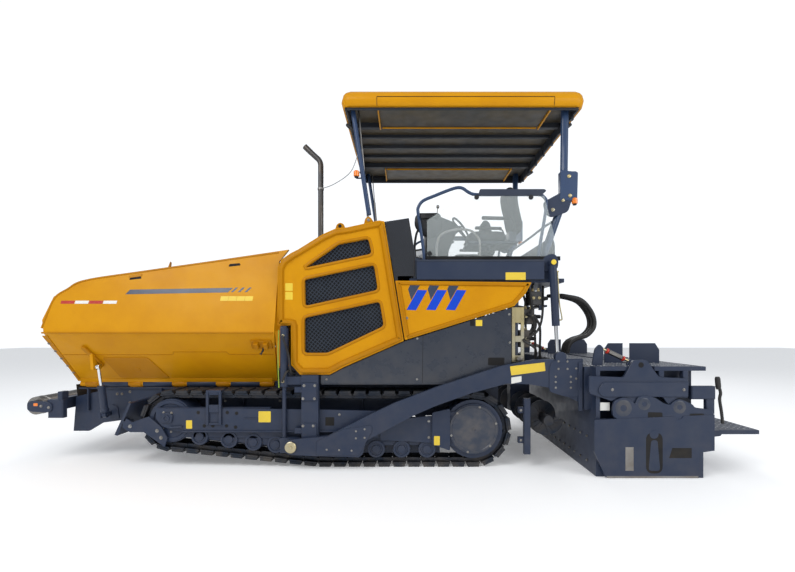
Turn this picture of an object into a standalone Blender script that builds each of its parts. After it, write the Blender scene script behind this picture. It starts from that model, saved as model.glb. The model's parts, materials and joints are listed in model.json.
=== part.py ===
"""Asphalt paver on tracks, with folding hopper wings and a towed, widening screed.

Metres, +Z up. The machine faces -X, its left side is -Y, and the origin lies on the ground
under the middle of the overall length. Run it in Blender: blender --background --python part.py
"""

import math

import bmesh
import bpy
from mathutils import Matrix, Vector

# ---- driving dimensions, in metres ----
GAP = 0.0003            # between pieces that touch
PIN_PLAY = 0.001        # round a pin in its eye
RUN_CLEAR = 0.010       # between pieces that move past each other

FRAME_HALF = 0.80       # half width over the side plates
FRAME_PLATE = 0.03      # thickness of the frame's plates
FRAME_FRONT_X = -3.34   # front cross plate
FRAME_REAR_X = 1.30     # rear end of the side plates
TUNNEL_FLOOR_Z = 0.50   # underside of the conveyor floor
TUNNEL_ROOF_Z = 0.97    # underside of the tunnel roof
CONVEYOR_DEPTH = 0.07   # height of a conveyor's chains and slats

ENGINE_FRONT_X = -0.60

TRACK_WIDTH = 0.30
TRACK_GAUGE_HALF = 1.00     # centre plane of a track
TRACK_DEPTH = 0.085         # shoe and chain together
SHOE_COUNT = 54
SHOE_GROOVE = 0.022         # depth of the gap between shoes
SPROCKET_X = 0.975
SPROCKET_R = 0.385          # over the shoes
IDLER_X = -2.125
IDLER_Z = 0.47
IDLER_R = 0.31              # over the shoes
TOE_X = -0.60               # where the flat of the track starts to rise
TOE_R = 0.15
LOOP_STEP = math.radians(9)     # between the points of a track's arcs
TRACK_ROLLER_R = 0.09
FINAL_DRIVE_R = 0.26

COVER_HALF = 1.20       # half width over the covers
COVER_WALL = 0.04
DECK_Z = 1.925          # top of the operator's deck
DECK_PLATE = 0.04
DECK_REAR_X = 1.90
BOX_TOP_Z = 2.11        # top of the boxes along the deck's edges
BRACKET_Y = 1.15        # outer face of the lift cylinders' brackets
SEAT_INNER = 0.50       # y of a seat's two sides
SEAT_OUTER = 0.98
SEAT_BASE_Z = 2.33
GLASS_SILL_Z = 2.145
RAIL_Y = 1.13
RAIL_R = 0.018

HINGE_Y = 0.80          # hopper wing hinge line
HINGE_Z = 0.81
WING_WALL = 0.035
WING_REAR_X = -1.03

WING_CYLINDER_X = -2.92
WING_FOOT = (0.95, 0.50)    # y and z of the wing cylinder's lower pin
WING_EYE = (1.06, 1.02)     # y and z of its rod's eye
FOOT_LUG_RISE = 0.012       # top of its foot lug over the pin

PUSH_PIVOT_X = -3.47
PUSH_PIN_R = 0.03
ROLLER_X = -3.645
ROLLER_Z = 0.595
ROLLER_R = 0.095

ROOF_HALF = 1.20
ROOF_BASE_Z = 3.635
ROOF_RISE = 0.215
ROOF_FRONT_X = -0.38
ROOF_REAR_X = 2.115
ROOF_WALL = 0.035
POST_Y = 1.05           # the roof posts
POST_REAR_X = 1.73      # foot of a rear post

TOW_X = -0.855          # tow pin
TOW_Z = 0.24
TOW_PIN_R = 0.03
LEVEL_X = -0.945         # levelling cylinder
LEVEL_BORE = 0.030
ARM_INNER = 1.25        # inner face of a tow arm
ARM_WALL = 0.05
ARM_REAR_X = 2.035

EYE_PIN_R = 0.014       # pins of the hydraulic cylinders
EYE_HALF = 0.022        # half width of their eyes
LIFT_TOP = (1.765, 2.08)    # upper pin of a screed lift cylinder, x and z
LIFT_EYE = (1.815, 1.13)    # its rod's eye
LIFT_Y = 1.206              # centre plane of a lift cylinder, inside the arm
LIFT_BORE = 0.027
BARREL_START = 0.030    # from a cylinder's foot pin to its barrel

SCREED_HALF = 1.50      # half width over the end plates
SCREED_FRONT_X = 2.10
SCREED_DEPTH = 0.50     # main screed, front to back
EXTENSION_DEPTH = 0.47
GUIDE_X = 2.86          # the tubes that the extensions slide on
GUIDE_Z = (0.60, 0.86)
GUIDE_R = 0.045
SCREED_BOX_Z = 0.42     # top of the screed boxes
END_PLATE = 0.04
WALKWAY_Z = 1.05
WALKWAY_PLATE = 0.04
SCREED_REAR_X = SCREED_FRONT_X + SCREED_DEPTH
EXTENSION_FRONT_X = SCREED_REAR_X + 0.03
EXTENSION_REAR_X = EXTENSION_FRONT_X + EXTENSION_DEPTH
RIB_WALL = 0.04             # plates that carry a walkway

AUGER_X = 1.72
AUGER_Z = 0.486
AUGER_R = 0.17
HANGER_HALF = 0.09
AUGER_SHAFT_R = 0.05
AUGER_END_Y = 1.22
AUGER_TURNS = 4
AUGER_BLADE_HALF = 0.008

STEP_HINGE_X = 3.31
STEP_HINGE_Z = 0.40
STEP_REACH = 0.43
STEP_HALF = 0.02            # half the thickness of a step
STEP_LUG_R = 0.028

# ---- colours: red, green, blue, metallic, roughness ----
COLOURS = {
    "yellow": (0.72, 0.33, 0.010, 0.0, 0.38),
    "frame_blue": (0.030, 0.052, 0.105, 0.0, 0.45),
    "post_blue": (0.050, 0.115, 0.260, 0.0, 0.40),
    "black": (0.012, 0.013, 0.015, 0.0, 0.60),
    "rubber": (0.020, 0.020, 0.021, 0.0, 0.75),
    "steel": (0.34, 0.34, 0.35, 1.0, 0.42),
    "chrome": (0.62, 0.63, 0.64, 1.0, 0.12),
    "glass": (0.70, 0.76, 0.78, 0.0, 0.05),
    "cloth": (0.030, 0.032, 0.036, 0.0, 0.85),
    "cast": (0.10, 0.10, 0.105, 0.6, 0.55),
}
SIDES = (("left", -1), ("right", 1))


# ---- scene helpers ----
def clear_scene():
    for obj in list(bpy.data.objects):
        bpy.data.objects.remove(obj, do_unlink=True)


def new_collection(name):
    collection = bpy.data.collections.new(name)
    bpy.context.scene.collection.children.link(collection)
    return collection


def material(name):
    found = bpy.data.materials.get(name)
    if found:
        return found
    made = bpy.data.materials.new(name)
    made.use_nodes = True
    red, green, blue, metallic, roughness = COLOURS[name]
    made.diffuse_color = (red, green, blue, 1.0)
    shader = made.node_tree.nodes["Principled BSDF"]
    shader.inputs["Base Color"].default_value = (red, green, blue, 1.0)
    shader.inputs["Metallic"].default_value = metallic
    shader.inputs["Roughness"].default_value = roughness
    return made


def mesh_object(name, shape):
    """Links a new object that holds the bmesh, and frees the bmesh."""
    mesh = bpy.data.meshes.new(name)
    bmesh.ops.recalc_face_normals(shape, faces=shape.faces)
    shape.to_mesh(mesh)
    shape.free()
    obj = bpy.data.objects.new(name, mesh)
    HELPERS.objects.link(obj)
    return obj


def block(low, high):
    """A box between two corners, given in any order."""
    shape = bmesh.new()
    bmesh.ops.create_cube(shape, size=1.0)
    middle = [(a + b) / 2 for a, b in zip(low, high)]
    sides = [abs(b - a) for a, b in zip(low, high)]
    bmesh.ops.scale(shape, vec=sides, verts=shape.verts)
    bmesh.ops.translate(shape, vec=middle, verts=shape.verts)
    return mesh_object("block", shape)


def drum(start, end, radius, sides=20, end_radius=None):
    """A cylinder, or a cone, from one point to another."""
    start, end = Vector(start), Vector(end)
    line = end - start
    shape = bmesh.new()
    bmesh.ops.create_cone(
        shape, cap_ends=True, segments=sides, radius1=radius,
        radius2=radius if end_radius is None else end_radius, depth=line.length,
    )
    turn = Vector((0, 0, 1)).rotation_difference(line).to_matrix().to_4x4()
    bmesh.ops.transform(
        shape, matrix=Matrix.Translation((start + end) / 2) @ turn, verts=shape.verts
    )
    return mesh_object("drum", shape)


def curve_mesh(curve, matrix):
    """Makes a curve's evaluated shape a mesh object, with its caps welded on."""
    guide = bpy.data.objects.new("guide", curve)
    HELPERS.objects.link(guide)
    guide.matrix_world = matrix
    bpy.context.view_layer.update()
    graph = bpy.context.evaluated_depsgraph_get()
    mesh = bpy.data.meshes.new_from_object(guide.evaluated_get(graph))
    mesh.transform(matrix)
    bpy.data.objects.remove(guide, do_unlink=True)
    shape = bmesh.new()
    shape.from_mesh(mesh)
    bmesh.ops.remove_doubles(shape, verts=shape.verts, dist=0.00002)
    return mesh_object("sheet", shape)


PLANES = {
    "xz": Matrix(((1, 0, 0, 0), (0, 0, -1, 0), (0, 1, 0, 0), (0, 0, 0, 1))),
    "yz": Matrix(((0, 0, 1, 0), (1, 0, 0, 0), (0, 1, 0, 0), (0, 0, 0, 1))),
    "xy": Matrix(((1, 0, 0, 0), (0, 1, 0, 0), (0, 0, 1, 0), (0, 0, 0, 1))),
}


def sheet(plane, outline, low, high, holes=()):
    """A flat outline in a plane, with holes, thick from low to high across that plane."""
    curve = bpy.data.curves.new("outline", "CURVE")
    curve.dimensions = "2D"
    curve.fill_mode = "BOTH"
    curve.extrude = abs(high - low) / 2
    for points in (outline, *holes):
        spline = curve.splines.new("POLY")
        spline.points.add(len(points) - 1)
        for point, (a, b) in zip(spline.points, points):
            point.co = (a, b, 0.0, 1.0)
        spline.use_cyclic_u = True
    middle = (low + high) / 2
    shift = {"xz": (0, middle, 0), "yz": (middle, 0, 0), "xy": (0, 0, middle)}[plane]
    return curve_mesh(curve, Matrix.Translation(shift) @ PLANES[plane])


def pipe(points, radius, resolution=2):
    """A round bar or tube along straight or curved points."""
    curve = bpy.data.curves.new("route", "CURVE")
    curve.dimensions = "3D"
    curve.bevel_depth = radius
    curve.bevel_resolution = resolution
    curve.use_fill_caps = True
    spline = curve.splines.new("POLY")
    spline.points.add(len(points) - 1)
    for point, place in zip(spline.points, points):
        point.co = (*place, 1.0)
    return curve_mesh(curve, Matrix.Identity(4))


def arc(centre, radius, start_deg, end_deg, steps):
    """Points on a circle in an outline's own two directions, from one angle to another."""
    angles = [start_deg + (end_deg - start_deg) * k / steps for k in range(steps + 1)]
    return [
        (
            centre[0] + radius * math.cos(math.radians(a)),
            centre[1] + radius * math.sin(math.radians(a)),
        )
        for a in angles
    ]


def boolean(obj, other, operation):
    modifier = obj.modifiers.new(operation.lower(), "BOOLEAN")
    modifier.operation = operation
    modifier.solver = "EXACT"
    modifier.object = other
    other.hide_render = True
    other.display_type = "WIRE"


def node(name, colour, pieces, cuts=(), pivot=(0, 0, 0)):
    """Joins the pieces into one named object, cuts it, and puts its origin on its pivot."""
    obj = pieces[0]
    HELPERS.objects.unlink(obj)
    PAVER.objects.link(obj)
    obj.name = name
    obj.data.name = name
    obj.data.transform(Matrix.Translation([-p for p in pivot]))
    obj.location = pivot
    for other in pieces[1:]:
        boolean(obj, other, "UNION")
    for other in cuts:
        boolean(obj, other, "DIFFERENCE")
    obj.data.materials.append(material(colour))
    obj.data.shade_smooth()
    obj.data.set_sharp_from_angle(angle=math.radians(35))
    return obj


# ---- frame and conveyors ----
def frame_side(s):
    """A side plate with its nose under the hopper and its tail over the auger."""
    outline = [
        (FRAME_FRONT_X - 0.03, 0.29), (FRAME_FRONT_X, 0.67), (-3.08, 0.73), (-3.0, HINGE_Z - 0.045),
        (-1.16, HINGE_Z - 0.045), (-1.08, 1.0), (FRAME_REAR_X, 1.0), (FRAME_REAR_X, 0.47),
        (-2.75, 0.42), (-3.05, 0.38), (-3.2, 0.29),
    ]
    return sheet("xz", outline, s * (FRAME_HALF - FRAME_PLATE), s * FRAME_HALF)


def main_frame():
    inner = FRAME_HALF - FRAME_PLATE + 0.005
    floor = block((-3.06, -inner, TUNNEL_FLOOR_Z), (FRAME_REAR_X, inner, TUNNEL_FLOOR_Z + FRAME_PLATE))
    pieces = [
        floor,
        frame_side(-1),
        frame_side(1),
        block((-1.0, -inner, TUNNEL_ROOF_Z), (FRAME_REAR_X, inner, TUNNEL_ROOF_Z + FRAME_PLATE)),
        block((-1.0, -0.02, TUNNEL_FLOOR_Z + FRAME_PLATE + CONVEYOR_DEPTH + 2 * GAP),
              (FRAME_REAR_X, 0.02, TUNNEL_ROOF_Z + 0.01)),
        block((FRAME_FRONT_X + 0.005, -inner, 0.31), (FRAME_FRONT_X + 0.035, inner, 0.64)),
        block((-3.31, -0.10, 0.50), (-3.02, 0.10, 0.53)),
    ]
    reach = COVER_HALF - COVER_WALL - GAP
    for x in (-0.80, 1.20):
        pieces.append(block((x, -reach, 1.0 - 0.01), (x + 0.08, reach, 1.07)))
    for s in (-1, 1):
        lug_x = WING_CYLINDER_X - EYE_HALF - 0.002
        foot = (s * WING_FOOT[0], WING_FOOT[1])
        pieces.append(block(
            (lug_x - 0.025, s * (inner + 0.02), foot[1] - 0.035), (lug_x, s * 0.99, foot[1] + FOOT_LUG_RISE),
        ))
        pieces.append(drum((lug_x - 0.02, *foot), (WING_CYLINDER_X + EYE_HALF + 0.01, *foot), EYE_PIN_R, 14))
    for z in (0.44, 0.7005):
        pieces.append(block((PUSH_PIVOT_X - 0.06, -0.07, z), (FRAME_FRONT_X + 0.02, 0.07, z + 0.0595)))
    pieces.append(block((FRAME_FRONT_X - 0.02, -0.09, 0.42), (FRAME_FRONT_X + 0.01, 0.09, 0.78)))
    pieces.append(drum((PUSH_PIVOT_X, 0, 0.46), (PUSH_PIVOT_X, 0, 0.74), PUSH_PIN_R, 18))
    return node("main_frame", "frame_blue", pieces)


def conveyor():
    """The two slat conveyors side by side, with the guard over the chains between them."""
    base = TUNNEL_FLOOR_Z + FRAME_PLATE + GAP
    rear = FRAME_REAR_X - 0.03
    return node("conveyor", "steel", [block((-2.98, -0.74, base), (rear, 0.74, base + CONVEYOR_DEPTH))])


def hopper_bulkhead():
    top = 2.08
    outline = [(-1.14, 1.12), (-1.14, 1.95), (-1.0, top), (1.0, top), (1.14, 1.95), (1.14, 1.12),
               (FRAME_HALF - 0.04, 1.0 + GAP), (-FRAME_HALF + 0.04, 1.0 + GAP)]
    return node("hopper_bulkhead", "yellow", [sheet("yz", outline, -1.0, -0.965)])


def engine_block():
    base = TUNNEL_ROOF_Z + FRAME_PLATE + GAP
    return node("engine_block", "cast", [block((ENGINE_FRONT_X, -0.45, base), (0.6, 0.45, 1.85))])


# ---- tracks ----
def track_loop(offset):
    """The taut loop round the sprocket, the idler and the toe, moved in by offset."""
    circles = [
        (SPROCKET_X, SPROCKET_R, SPROCKET_R - offset),
        (IDLER_X, IDLER_Z, IDLER_R - offset),
        (TOE_X, TOE_R, TOE_R - offset),
    ]
    leaves = []
    for k in range(3):
        x0, z0, r0 = circles[k]
        x1, z1, r1 = circles[(k + 1) % 3]
        bearing = math.atan2(z1 - z0, x1 - x0)
        leaves.append(bearing - math.acos((r0 - r1) / math.hypot(x1 - x0, z1 - z0)))
    points = []
    for k in range(3):
        x, z, r = circles[k]
        arrive = leaves[k - 1]
        sweep = (leaves[k] - arrive) % (2 * math.pi)
        steps = max(2, math.ceil(sweep / LOOP_STEP))
        for j in range(steps + 1):
            a = arrive + sweep * j / steps
            points.append(Vector((x + r * math.cos(a), z + r * math.sin(a))))
    return points


def spaced_loop(offset, count):
    """The loop as count points an equal way apart, starting at the sprocket."""
    points = track_loop(offset)
    lengths = [(points[(j + 1) % len(points)] - points[j]).length for j in range(len(points))]
    spaced = []
    j = 0
    walked = 0.0
    for n in range(count):
        want = sum(lengths) * n / count
        while walked + lengths[j] < want:
            walked += lengths[j]
            j += 1
        share = (want - walked) / lengths[j]
        spaced.append(points[j].lerp(points[(j + 1) % len(points)], share))
    return spaced


def track(side, s):
    """One loop whose outline steps in and out for the shoes."""
    steps = SHOE_COUNT * 8
    outer = spaced_loop(0.0, steps)
    groove = spaced_loop(SHOE_GROOVE, steps)
    outline = []
    for n in range(SHOE_COUNT):
        k = 8 * n
        outline += [outer[k], outer[k + 3], outer[(k + 7) % steps], groove[(k + 7) % steps]]
        outline.append(groove[(k + 8) % steps])
    inside = track_loop(TRACK_DEPTH)
    low = s * (TRACK_GAUGE_HALF - TRACK_WIDTH / 2)
    high = s * (TRACK_GAUGE_HALF + TRACK_WIDTH / 2)
    return node(f"track_{side}", "rubber", [sheet("xz", outline, low, high, [inside])])


def track_frame(side, s):
    """The beam inside a track, with its rollers, idler, sprocket and final drive cover."""
    inner = TRACK_GAUGE_HALF - TRACK_WIDTH / 2 + 0.02
    outer = TRACK_GAUGE_HALF + TRACK_WIDTH / 2 - 0.02
    chord = math.cos(LOOP_STEP / 2)
    sprocket_r = (SPROCKET_R - TRACK_DEPTH) * chord - GAP
    idler_r = (IDLER_R - TRACK_DEPTH) * chord - GAP
    beam = [(-1.95, 0.42), (0.50, 0.40), (0.55, 0.22), (-0.95, 0.20), (-2.0, 0.30)]
    idler_fork = [(-2.2, 0.52), (-1.8, 0.40), (-1.8, 0.32), (-2.2, 0.42)]
    drive_neck = [(0.45, 0.38), (0.80, 0.50), (0.80, 0.26), (0.45, 0.24)]
    drive_plate = [(0.55, 0.52), (0.95, 0.60), (0.95, 0.16), (0.55, 0.27)]
    pieces = [
        sheet("xz", beam, s * (inner + 0.02), s * (outer - 0.01)),
        drum((IDLER_X, s * inner, IDLER_Z), (IDLER_X, s * outer, IDLER_Z), idler_r, 28),
        drum((SPROCKET_X, s * inner, SPROCKET_R), (SPROCKET_X, s * outer, SPROCKET_R), sprocket_r, 32),
        sheet("xz", idler_fork, s * (inner + 0.04), s * (outer - 0.03)),
        sheet("xz", drive_neck, s * (inner + 0.03), s * (outer - 0.022)),
        drum(
            (SPROCKET_X, s * (outer - 0.01), SPROCKET_R),
            (SPROCKET_X, s * (outer + 0.025), SPROCKET_R), FINAL_DRIVE_R, 32,
        ),
        sheet("xz", drive_plate, s * (outer - 0.018), s * (outer + 0.018)),
        block((-1.75, s * (FRAME_HALF + GAP), 0.44 - 0.06), (-1.55, s * (outer - 0.03), 0.47)),
        block((0.10, s * (FRAME_HALF + GAP), 0.44 - 0.08), (0.35, s * (outer - 0.03), 0.47)),
    ]
    slope = (IDLER_Z - IDLER_R) / (IDLER_X - TOE_X)
    for x in (-1.83, -1.53, -1.28, -1.05, -0.02, 0.24, 0.50):
        floor_z = max(0.0, (x - TOE_X) * slope)
        z = floor_z + TRACK_DEPTH + GAP + TRACK_ROLLER_R + 0.004
        pieces.append(drum((x, s * inner, z), (x, s * outer, z), TRACK_ROLLER_R, 20))
    return node(f"track_frame_{side}", "frame_blue", pieces)


def track_scraper(side, s):
    """The blade ahead of a track, on a bracket from the frame."""
    outer = TRACK_GAUGE_HALF + TRACK_WIDTH / 2
    blade = [(-2.54, 0.66), (-2.52, 0.65), (-2.66, 0.32), (-2.69, 0.33)]
    plate = [(-2.60, 0.41), (-2.52, 0.36), (-2.38, 0.36), (-2.17, 0.21), (-2.14, 0.30), (-2.20, 0.41),
             (-2.33, 0.52), (-2.50, 0.46), (-2.56, 0.50)]
    pieces = [
        sheet("xz", blade, s * (FRAME_HALF + GAP), s * (outer + 0.01)),
        sheet("xz", plate, s * (outer + 0.006), s * (outer + 0.026)),
        block((-2.60, s * (outer - 0.10), 0.42), (-2.555, s * (outer + 0.02), 0.47)),
    ]
    return node(f"track_scraper_{side}", "frame_blue", pieces)


# ---- covers ----
def side_cover(side, s):
    """The tall cover over the engine bay, with its three grille windows."""
    outline = [
        (-1.015, 1.446), (-0.879, 1.446), (-0.875, 1.046), (-0.785, 0.949), (-0.485, 0.949),
        (-0.345, 1.023), (0.262, 1.290), (0.065, 2.500), (0.012, 2.508), (-0.312, 2.438),
        (-0.428, 2.426), (-0.555, 2.370), (-0.810, 2.212), (-0.879, 2.178), (-0.972, 2.113),
        (-1.013, 2.032),
    ]
    windows = [
        [(-0.735, 2.03), (-0.393, 2.269), (-0.097, 2.324), (-0.062, 2.172)],
        [(-0.741, 1.91), (-0.039, 2.057), (-0.001, 1.806), (-0.735, 1.643)],
        [(-0.741, 1.522), (0.018, 1.685), (0.060, 1.441), (-0.509, 1.169), (-0.741, 1.169)],
    ]
    low, high = s * (COVER_HALF - COVER_WALL), s * COVER_HALF
    return node(f"side_cover_{side}", "yellow", [sheet("xz", outline, low, high, windows)])


def side_grille(side, s):
    """The mesh panel behind the windows of a side cover."""
    outline = [(-0.80, 1.10), (-0.50, 1.10), (0.12, 1.40), (-0.03, 2.36), (-0.40, 2.33), (-0.80, 2.09)]
    face = COVER_HALF - COVER_WALL - GAP
    return node(f"side_grille_{side}", "black", [sheet("xz", outline, s * (face - 0.008), s * face)])


def rear_side_panel(side, s):
    outline = [
        (0.175, 1.90), (1.56, 1.883), (1.497, 1.769), (1.383, 1.642), (0.596, 1.394), (0.273, 1.296),
    ]
    low, high = s * (COVER_HALF - COVER_WALL), s * COVER_HALF
    return node(f"rear_side_panel_{side}", "yellow", [sheet("xz", outline, low, high)])


def lower_side_panel(side, s):
    outline = [
        (-0.58, 0.85), (-0.58, 0.940), (-0.484, 0.943), (-0.342, 1.016), (0.264, 1.283),
        (0.598, 1.387), (1.355, 1.626), (1.355, 0.85),
    ]
    low, high = s * (COVER_HALF - COVER_WALL), s * (COVER_HALF - 0.01)
    return node(f"lower_side_panel_{side}", "frame_blue", [sheet("xz", outline, low, high)])


def hood():
    """The bent sheet over the engine, from the hopper to the operator's deck."""
    wall = 0.03
    top = [(-0.96, 2.112), (-0.879, 2.165), (-0.81, 2.20), (-0.555, 2.358), (-0.312, 2.426),
           (0.02, 2.50), (0.315, 2.545), (0.383, 2.148), (0.39, DECK_Z + GAP)]
    under = [(0.36, DECK_Z + GAP), (0.353, 2.14), (0.289, 2.511), (0.02, 2.47), (-0.312, 2.396),
             (-0.545, 2.328), (-0.80, 2.17), (-0.86, 2.14), (-0.96, 2.082)]
    half = COVER_HALF - COVER_WALL - 2 * GAP - 0.008
    hole = drum((-0.80, 0, 2.0), (-0.80, 0, 2.5), 0.05, 20)
    return node("hood", "frame_blue", [sheet("xz", top + under, -half, half)], [hole])


def exhaust_pipe():
    stack_x, bend_r, pipe_r = -0.80, 0.12, 0.035
    points = [(ENGINE_FRONT_X - GAP, 0, 1.75), (-0.68, 0, 1.75), (-0.76, 0, 1.79), (stack_x, 0, 1.88)]
    points += [(stack_x, 0, 2.6), (stack_x, 0, 3.48)]
    for x, z in arc((stack_x - bend_r, 3.52), bend_r, 10, 62, 4):
        points.append((x, 0, z))
    points.append((-1.005, 0, 3.745))
    return node("exhaust_pipe", "steel", [pipe(points, pipe_r, 3)])


# ---- operator's station ----
def operator_platform():
    half = COVER_HALF - COVER_WALL - GAP
    pieces = [block((0.32, -half, DECK_Z - DECK_PLATE), (DECK_REAR_X, half, DECK_Z))]
    for s in (-1, 1):
        pin = [(LIFT_TOP[0], s * y, LIFT_TOP[1]) for y in (BRACKET_Y - 0.02, LIFT_Y + EYE_HALF + 0.01)]
        pieces += [
            block((0.395, s * 0.98, DECK_Z - 0.02), (1.685, s * COVER_HALF, BOX_TOP_Z)),
            block((1.68, s * 1.00, 2.02), (1.82, s * BRACKET_Y, 2.14)),
            drum(*pin, EYE_PIN_R, 14),
            block((1.66, s * 0.98, 1.90), (1.82, s * BRACKET_Y, 2.05)),
        ]
    return node("operator_platform", "frame_blue", pieces)


def seat(side, s):
    base = SEAT_BASE_Z
    middle = (SEAT_INNER + SEAT_OUTER) / 2
    back = [(1.34, base + 0.02), (1.46, base + 0.02), (1.58, base + 0.62), (1.48, base + 0.65)]
    pieces = [
        block((0.92, s * SEAT_INNER, base), (1.42, s * SEAT_OUTER, base + 0.12)),
        sheet("xz", back, s * SEAT_INNER, s * SEAT_OUTER),
        drum((1.17, s * middle, DECK_Z + GAP), (1.17, s * middle, base + 0.01), 0.10, 16),
    ]
    return node(f"seat_{side}", "cloth", pieces)


def control_console():
    profile = [(0.52, DECK_Z + GAP), (0.80, DECK_Z + GAP), (0.80, 2.35), (0.92, 2.62), (0.86, 2.70),
               (0.60, 2.80), (0.52, 2.74)]
    return node("control_console", "black", [sheet("xz", profile, -0.38, 0.38)])


def side_glass(side, s):
    outline = [
        (0.50, GLASS_SILL_Z), (1.855, GLASS_SILL_Z), (1.70, 2.77), (0.93, 2.77), (0.80, 2.72), (0.50, 2.52),
    ]
    return node(f"side_glass_{side}", "glass", [sheet("xz", outline, s * 1.1485, s * 1.1565)])


def guard_rail(side, s):
    foot = BOX_TOP_Z + GAP
    bends = [(0.47, foot), (0.47, 2.16), (0.41, 2.62), (0.46, 2.73), (0.81, 2.865), (0.92, 2.81),
             (1.0, 2.79), (1.68, 2.79), (1.74, 2.70), (1.64, 2.16), (1.64, foot)]
    path = [(x, s * RAIL_Y, z) for x, z in bends]
    return node(f"guard_rail_{side}", "black", [pipe(path, RAIL_R)])


# ---- roof ----
def roof():
    """A shallow tray, open below, with rounded edges."""
    shell = block((ROOF_FRONT_X, -ROOF_HALF, ROOF_BASE_Z), (ROOF_REAR_X, ROOF_HALF, ROOF_BASE_Z + ROOF_RISE))
    rounding = shell.modifiers.new("rounding", "BEVEL")
    rounding.width = 0.10
    rounding.segments = 3
    rounding.limit_method = "NONE"
    inside = block(
        (ROOF_FRONT_X + 0.06, -ROOF_HALF + 0.06, ROOF_BASE_Z - 0.1),
        (ROOF_REAR_X - 0.06, ROOF_HALF - 0.06, ROOF_BASE_Z + ROOF_RISE - ROOF_WALL),
    )
    below = block(
        (ROOF_FRONT_X - 0.1, -ROOF_HALF - 0.1, ROOF_BASE_Z - 0.1),
        (ROOF_REAR_X + 0.1, ROOF_HALF + 0.1, ROOF_BASE_Z + 0.04),
    )
    return node("roof", "yellow", [shell], [below, inside])


def roof_frame():
    """The posts and the cross beams that carry the roof."""
    top = ROOF_BASE_Z + ROOF_RISE - ROOF_WALL - GAP
    half = 1.075
    beam = 0.05
    pieces = [block((-0.31, -half, top - 0.05), (2.045, -half + beam, top))]
    pieces.append(block((-0.31, half - beam, top - 0.05), (2.045, half, top)))
    for x in (-0.31, 0.30, 0.90, 1.42, 2.0):
        pieces.append(block((x, -half + 0.01, top - 0.05), (x + beam, half - 0.01, top)))
    for s in (-1, 1):
        y = s * POST_Y
        rear_post = [(POST_REAR_X, 2.14 + GAP), (POST_REAR_X, 2.20), (1.93, 2.76), (1.945, top - 0.02)]
        pieces += [
            pipe([(-0.10, y, 2.60), (-0.285, y, top - 0.02)], 0.025, 3),
            pipe([(x, y, z) for x, z in rear_post], 0.04, 3),
            block((1.885, s * 1.02, 2.74), (2.045, s * 1.10, 3.04)),
        ]
    return node("roof_frame", "post_blue", pieces)


# ---- hopper wings ----
def wing_section(s):
    """The bent sheet of a raised wing seen along the machine: lower panel, crease, upper panel."""
    crease = (1.27, 1.37)
    lip = (1.05, 2.24)
    hinge = (HINGE_Y + 0.02, HINGE_Z + 0.03)
    return [(s * y, z) for y, z in (
        hinge, (crease[0], crease[1]), lip,
        (lip[0] - WING_WALL, lip[1]), (crease[0] - WING_WALL - 0.005, crease[1] + 0.012),
        (hinge[0] - 0.02, hinge[1] + 0.03),
    )]


def hopper_wing(side, s):
    front_x = -3.365
    body = sheet("yz", wing_section(s), front_x, -0.94)
    knuckle = drum((-3.28, s * HINGE_Y, HINGE_Z), (-1.16, s * HINGE_Y, HINGE_Z), 0.028, 14)
    web = sheet(
        "yz", [(s * y, z) for y, z in ((0.79, 0.80), (0.81, 0.80), (0.85, 0.87), (0.82, 0.88))],
        -3.27, -1.17,
    )
    bracket_x = WING_CYLINDER_X - EYE_HALF - 0.0005
    bracket = sheet("yz", [(s * y, z) for y, z in ((1.00, 1.10), (1.12, 1.16), (1.10, 0.99), (1.04, 0.98))],
                    bracket_x - 0.03, bracket_x)
    trim = [
        sheet("xz", [(-3.5, 1.93), (-3.5, 2.4), (-0.8, 2.4), (-0.94, 2.24), (-2.995, 1.92), (-3.295, 1.74),
                     (-3.365, 1.5), (-3.5, 1.5)], s * 0.9, s * 1.4),
        sheet("xz", [(WING_REAR_X, 0.7), (WING_REAR_X, 2.11), (-0.93, 2.25), (-0.8, 2.25), (-0.8, 0.7)],
              s * 0.7, s * 1.4),
        sheet("xz", [(-3.5, 0.7), (-3.5, 1.5), (-3.365, 1.5), (-3.325, 1.37), (-3.295, HINGE_Z - 0.2)],
              s * 0.7, s * 1.4),
        sheet("xz", [(-1.145, 0.7), (WING_REAR_X, 1.37), (-0.9, 1.37), (-0.9, 0.7)], s * 0.7, s * 1.4),
    ]
    return node(f"hopper_wing_{side}", "yellow", [body, web, knuckle, bracket], trim,
                (-2.2, s * HINGE_Y, HINGE_Z))



def cylinder_pair(names, foot, eye, across, barrel_end, bore, rod, eye_reach=EYE_HALF):
    """A hydraulic cylinder: an open barrel turning on its foot, and a rod that slides in it.

    across is the pins' direction, barrel_end how far along the barrel reaches, and eye_reach
    how far the rod's eye stands out along across.
    """
    foot, eye, across = Vector(foot), Vector(eye), Vector(across).normalized()
    line = (eye - foot).normalized()
    barrel = [
        drum(foot + line * BARREL_START, foot + line * barrel_end, bore + 0.012, 18),
        drum(foot - across * EYE_HALF, foot + across * EYE_HALF, bore + 0.010, 16),
    ]
    cuts = [
        drum(foot + line * 0.05, foot + line * (barrel_end + 0.02), bore, 18),
        drum(foot - across * 0.1, foot + across * 0.1, EYE_PIN_R + PIN_PLAY, 14),
    ]
    node(names[0], "black", barrel, cuts, tuple(foot))
    rods = [
        drum(foot + line * (barrel_end - 0.05), eye - line * 0.02, rod, 14),
        drum(foot + line * (barrel_end - 0.08), foot + line * (barrel_end - 0.04), bore - 0.001, 18),
        drum(eye - across * EYE_HALF, eye + across * eye_reach, rod + 0.014, 16),
    ]
    node(names[1], "chrome", rods, (), tuple(eye))


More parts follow.
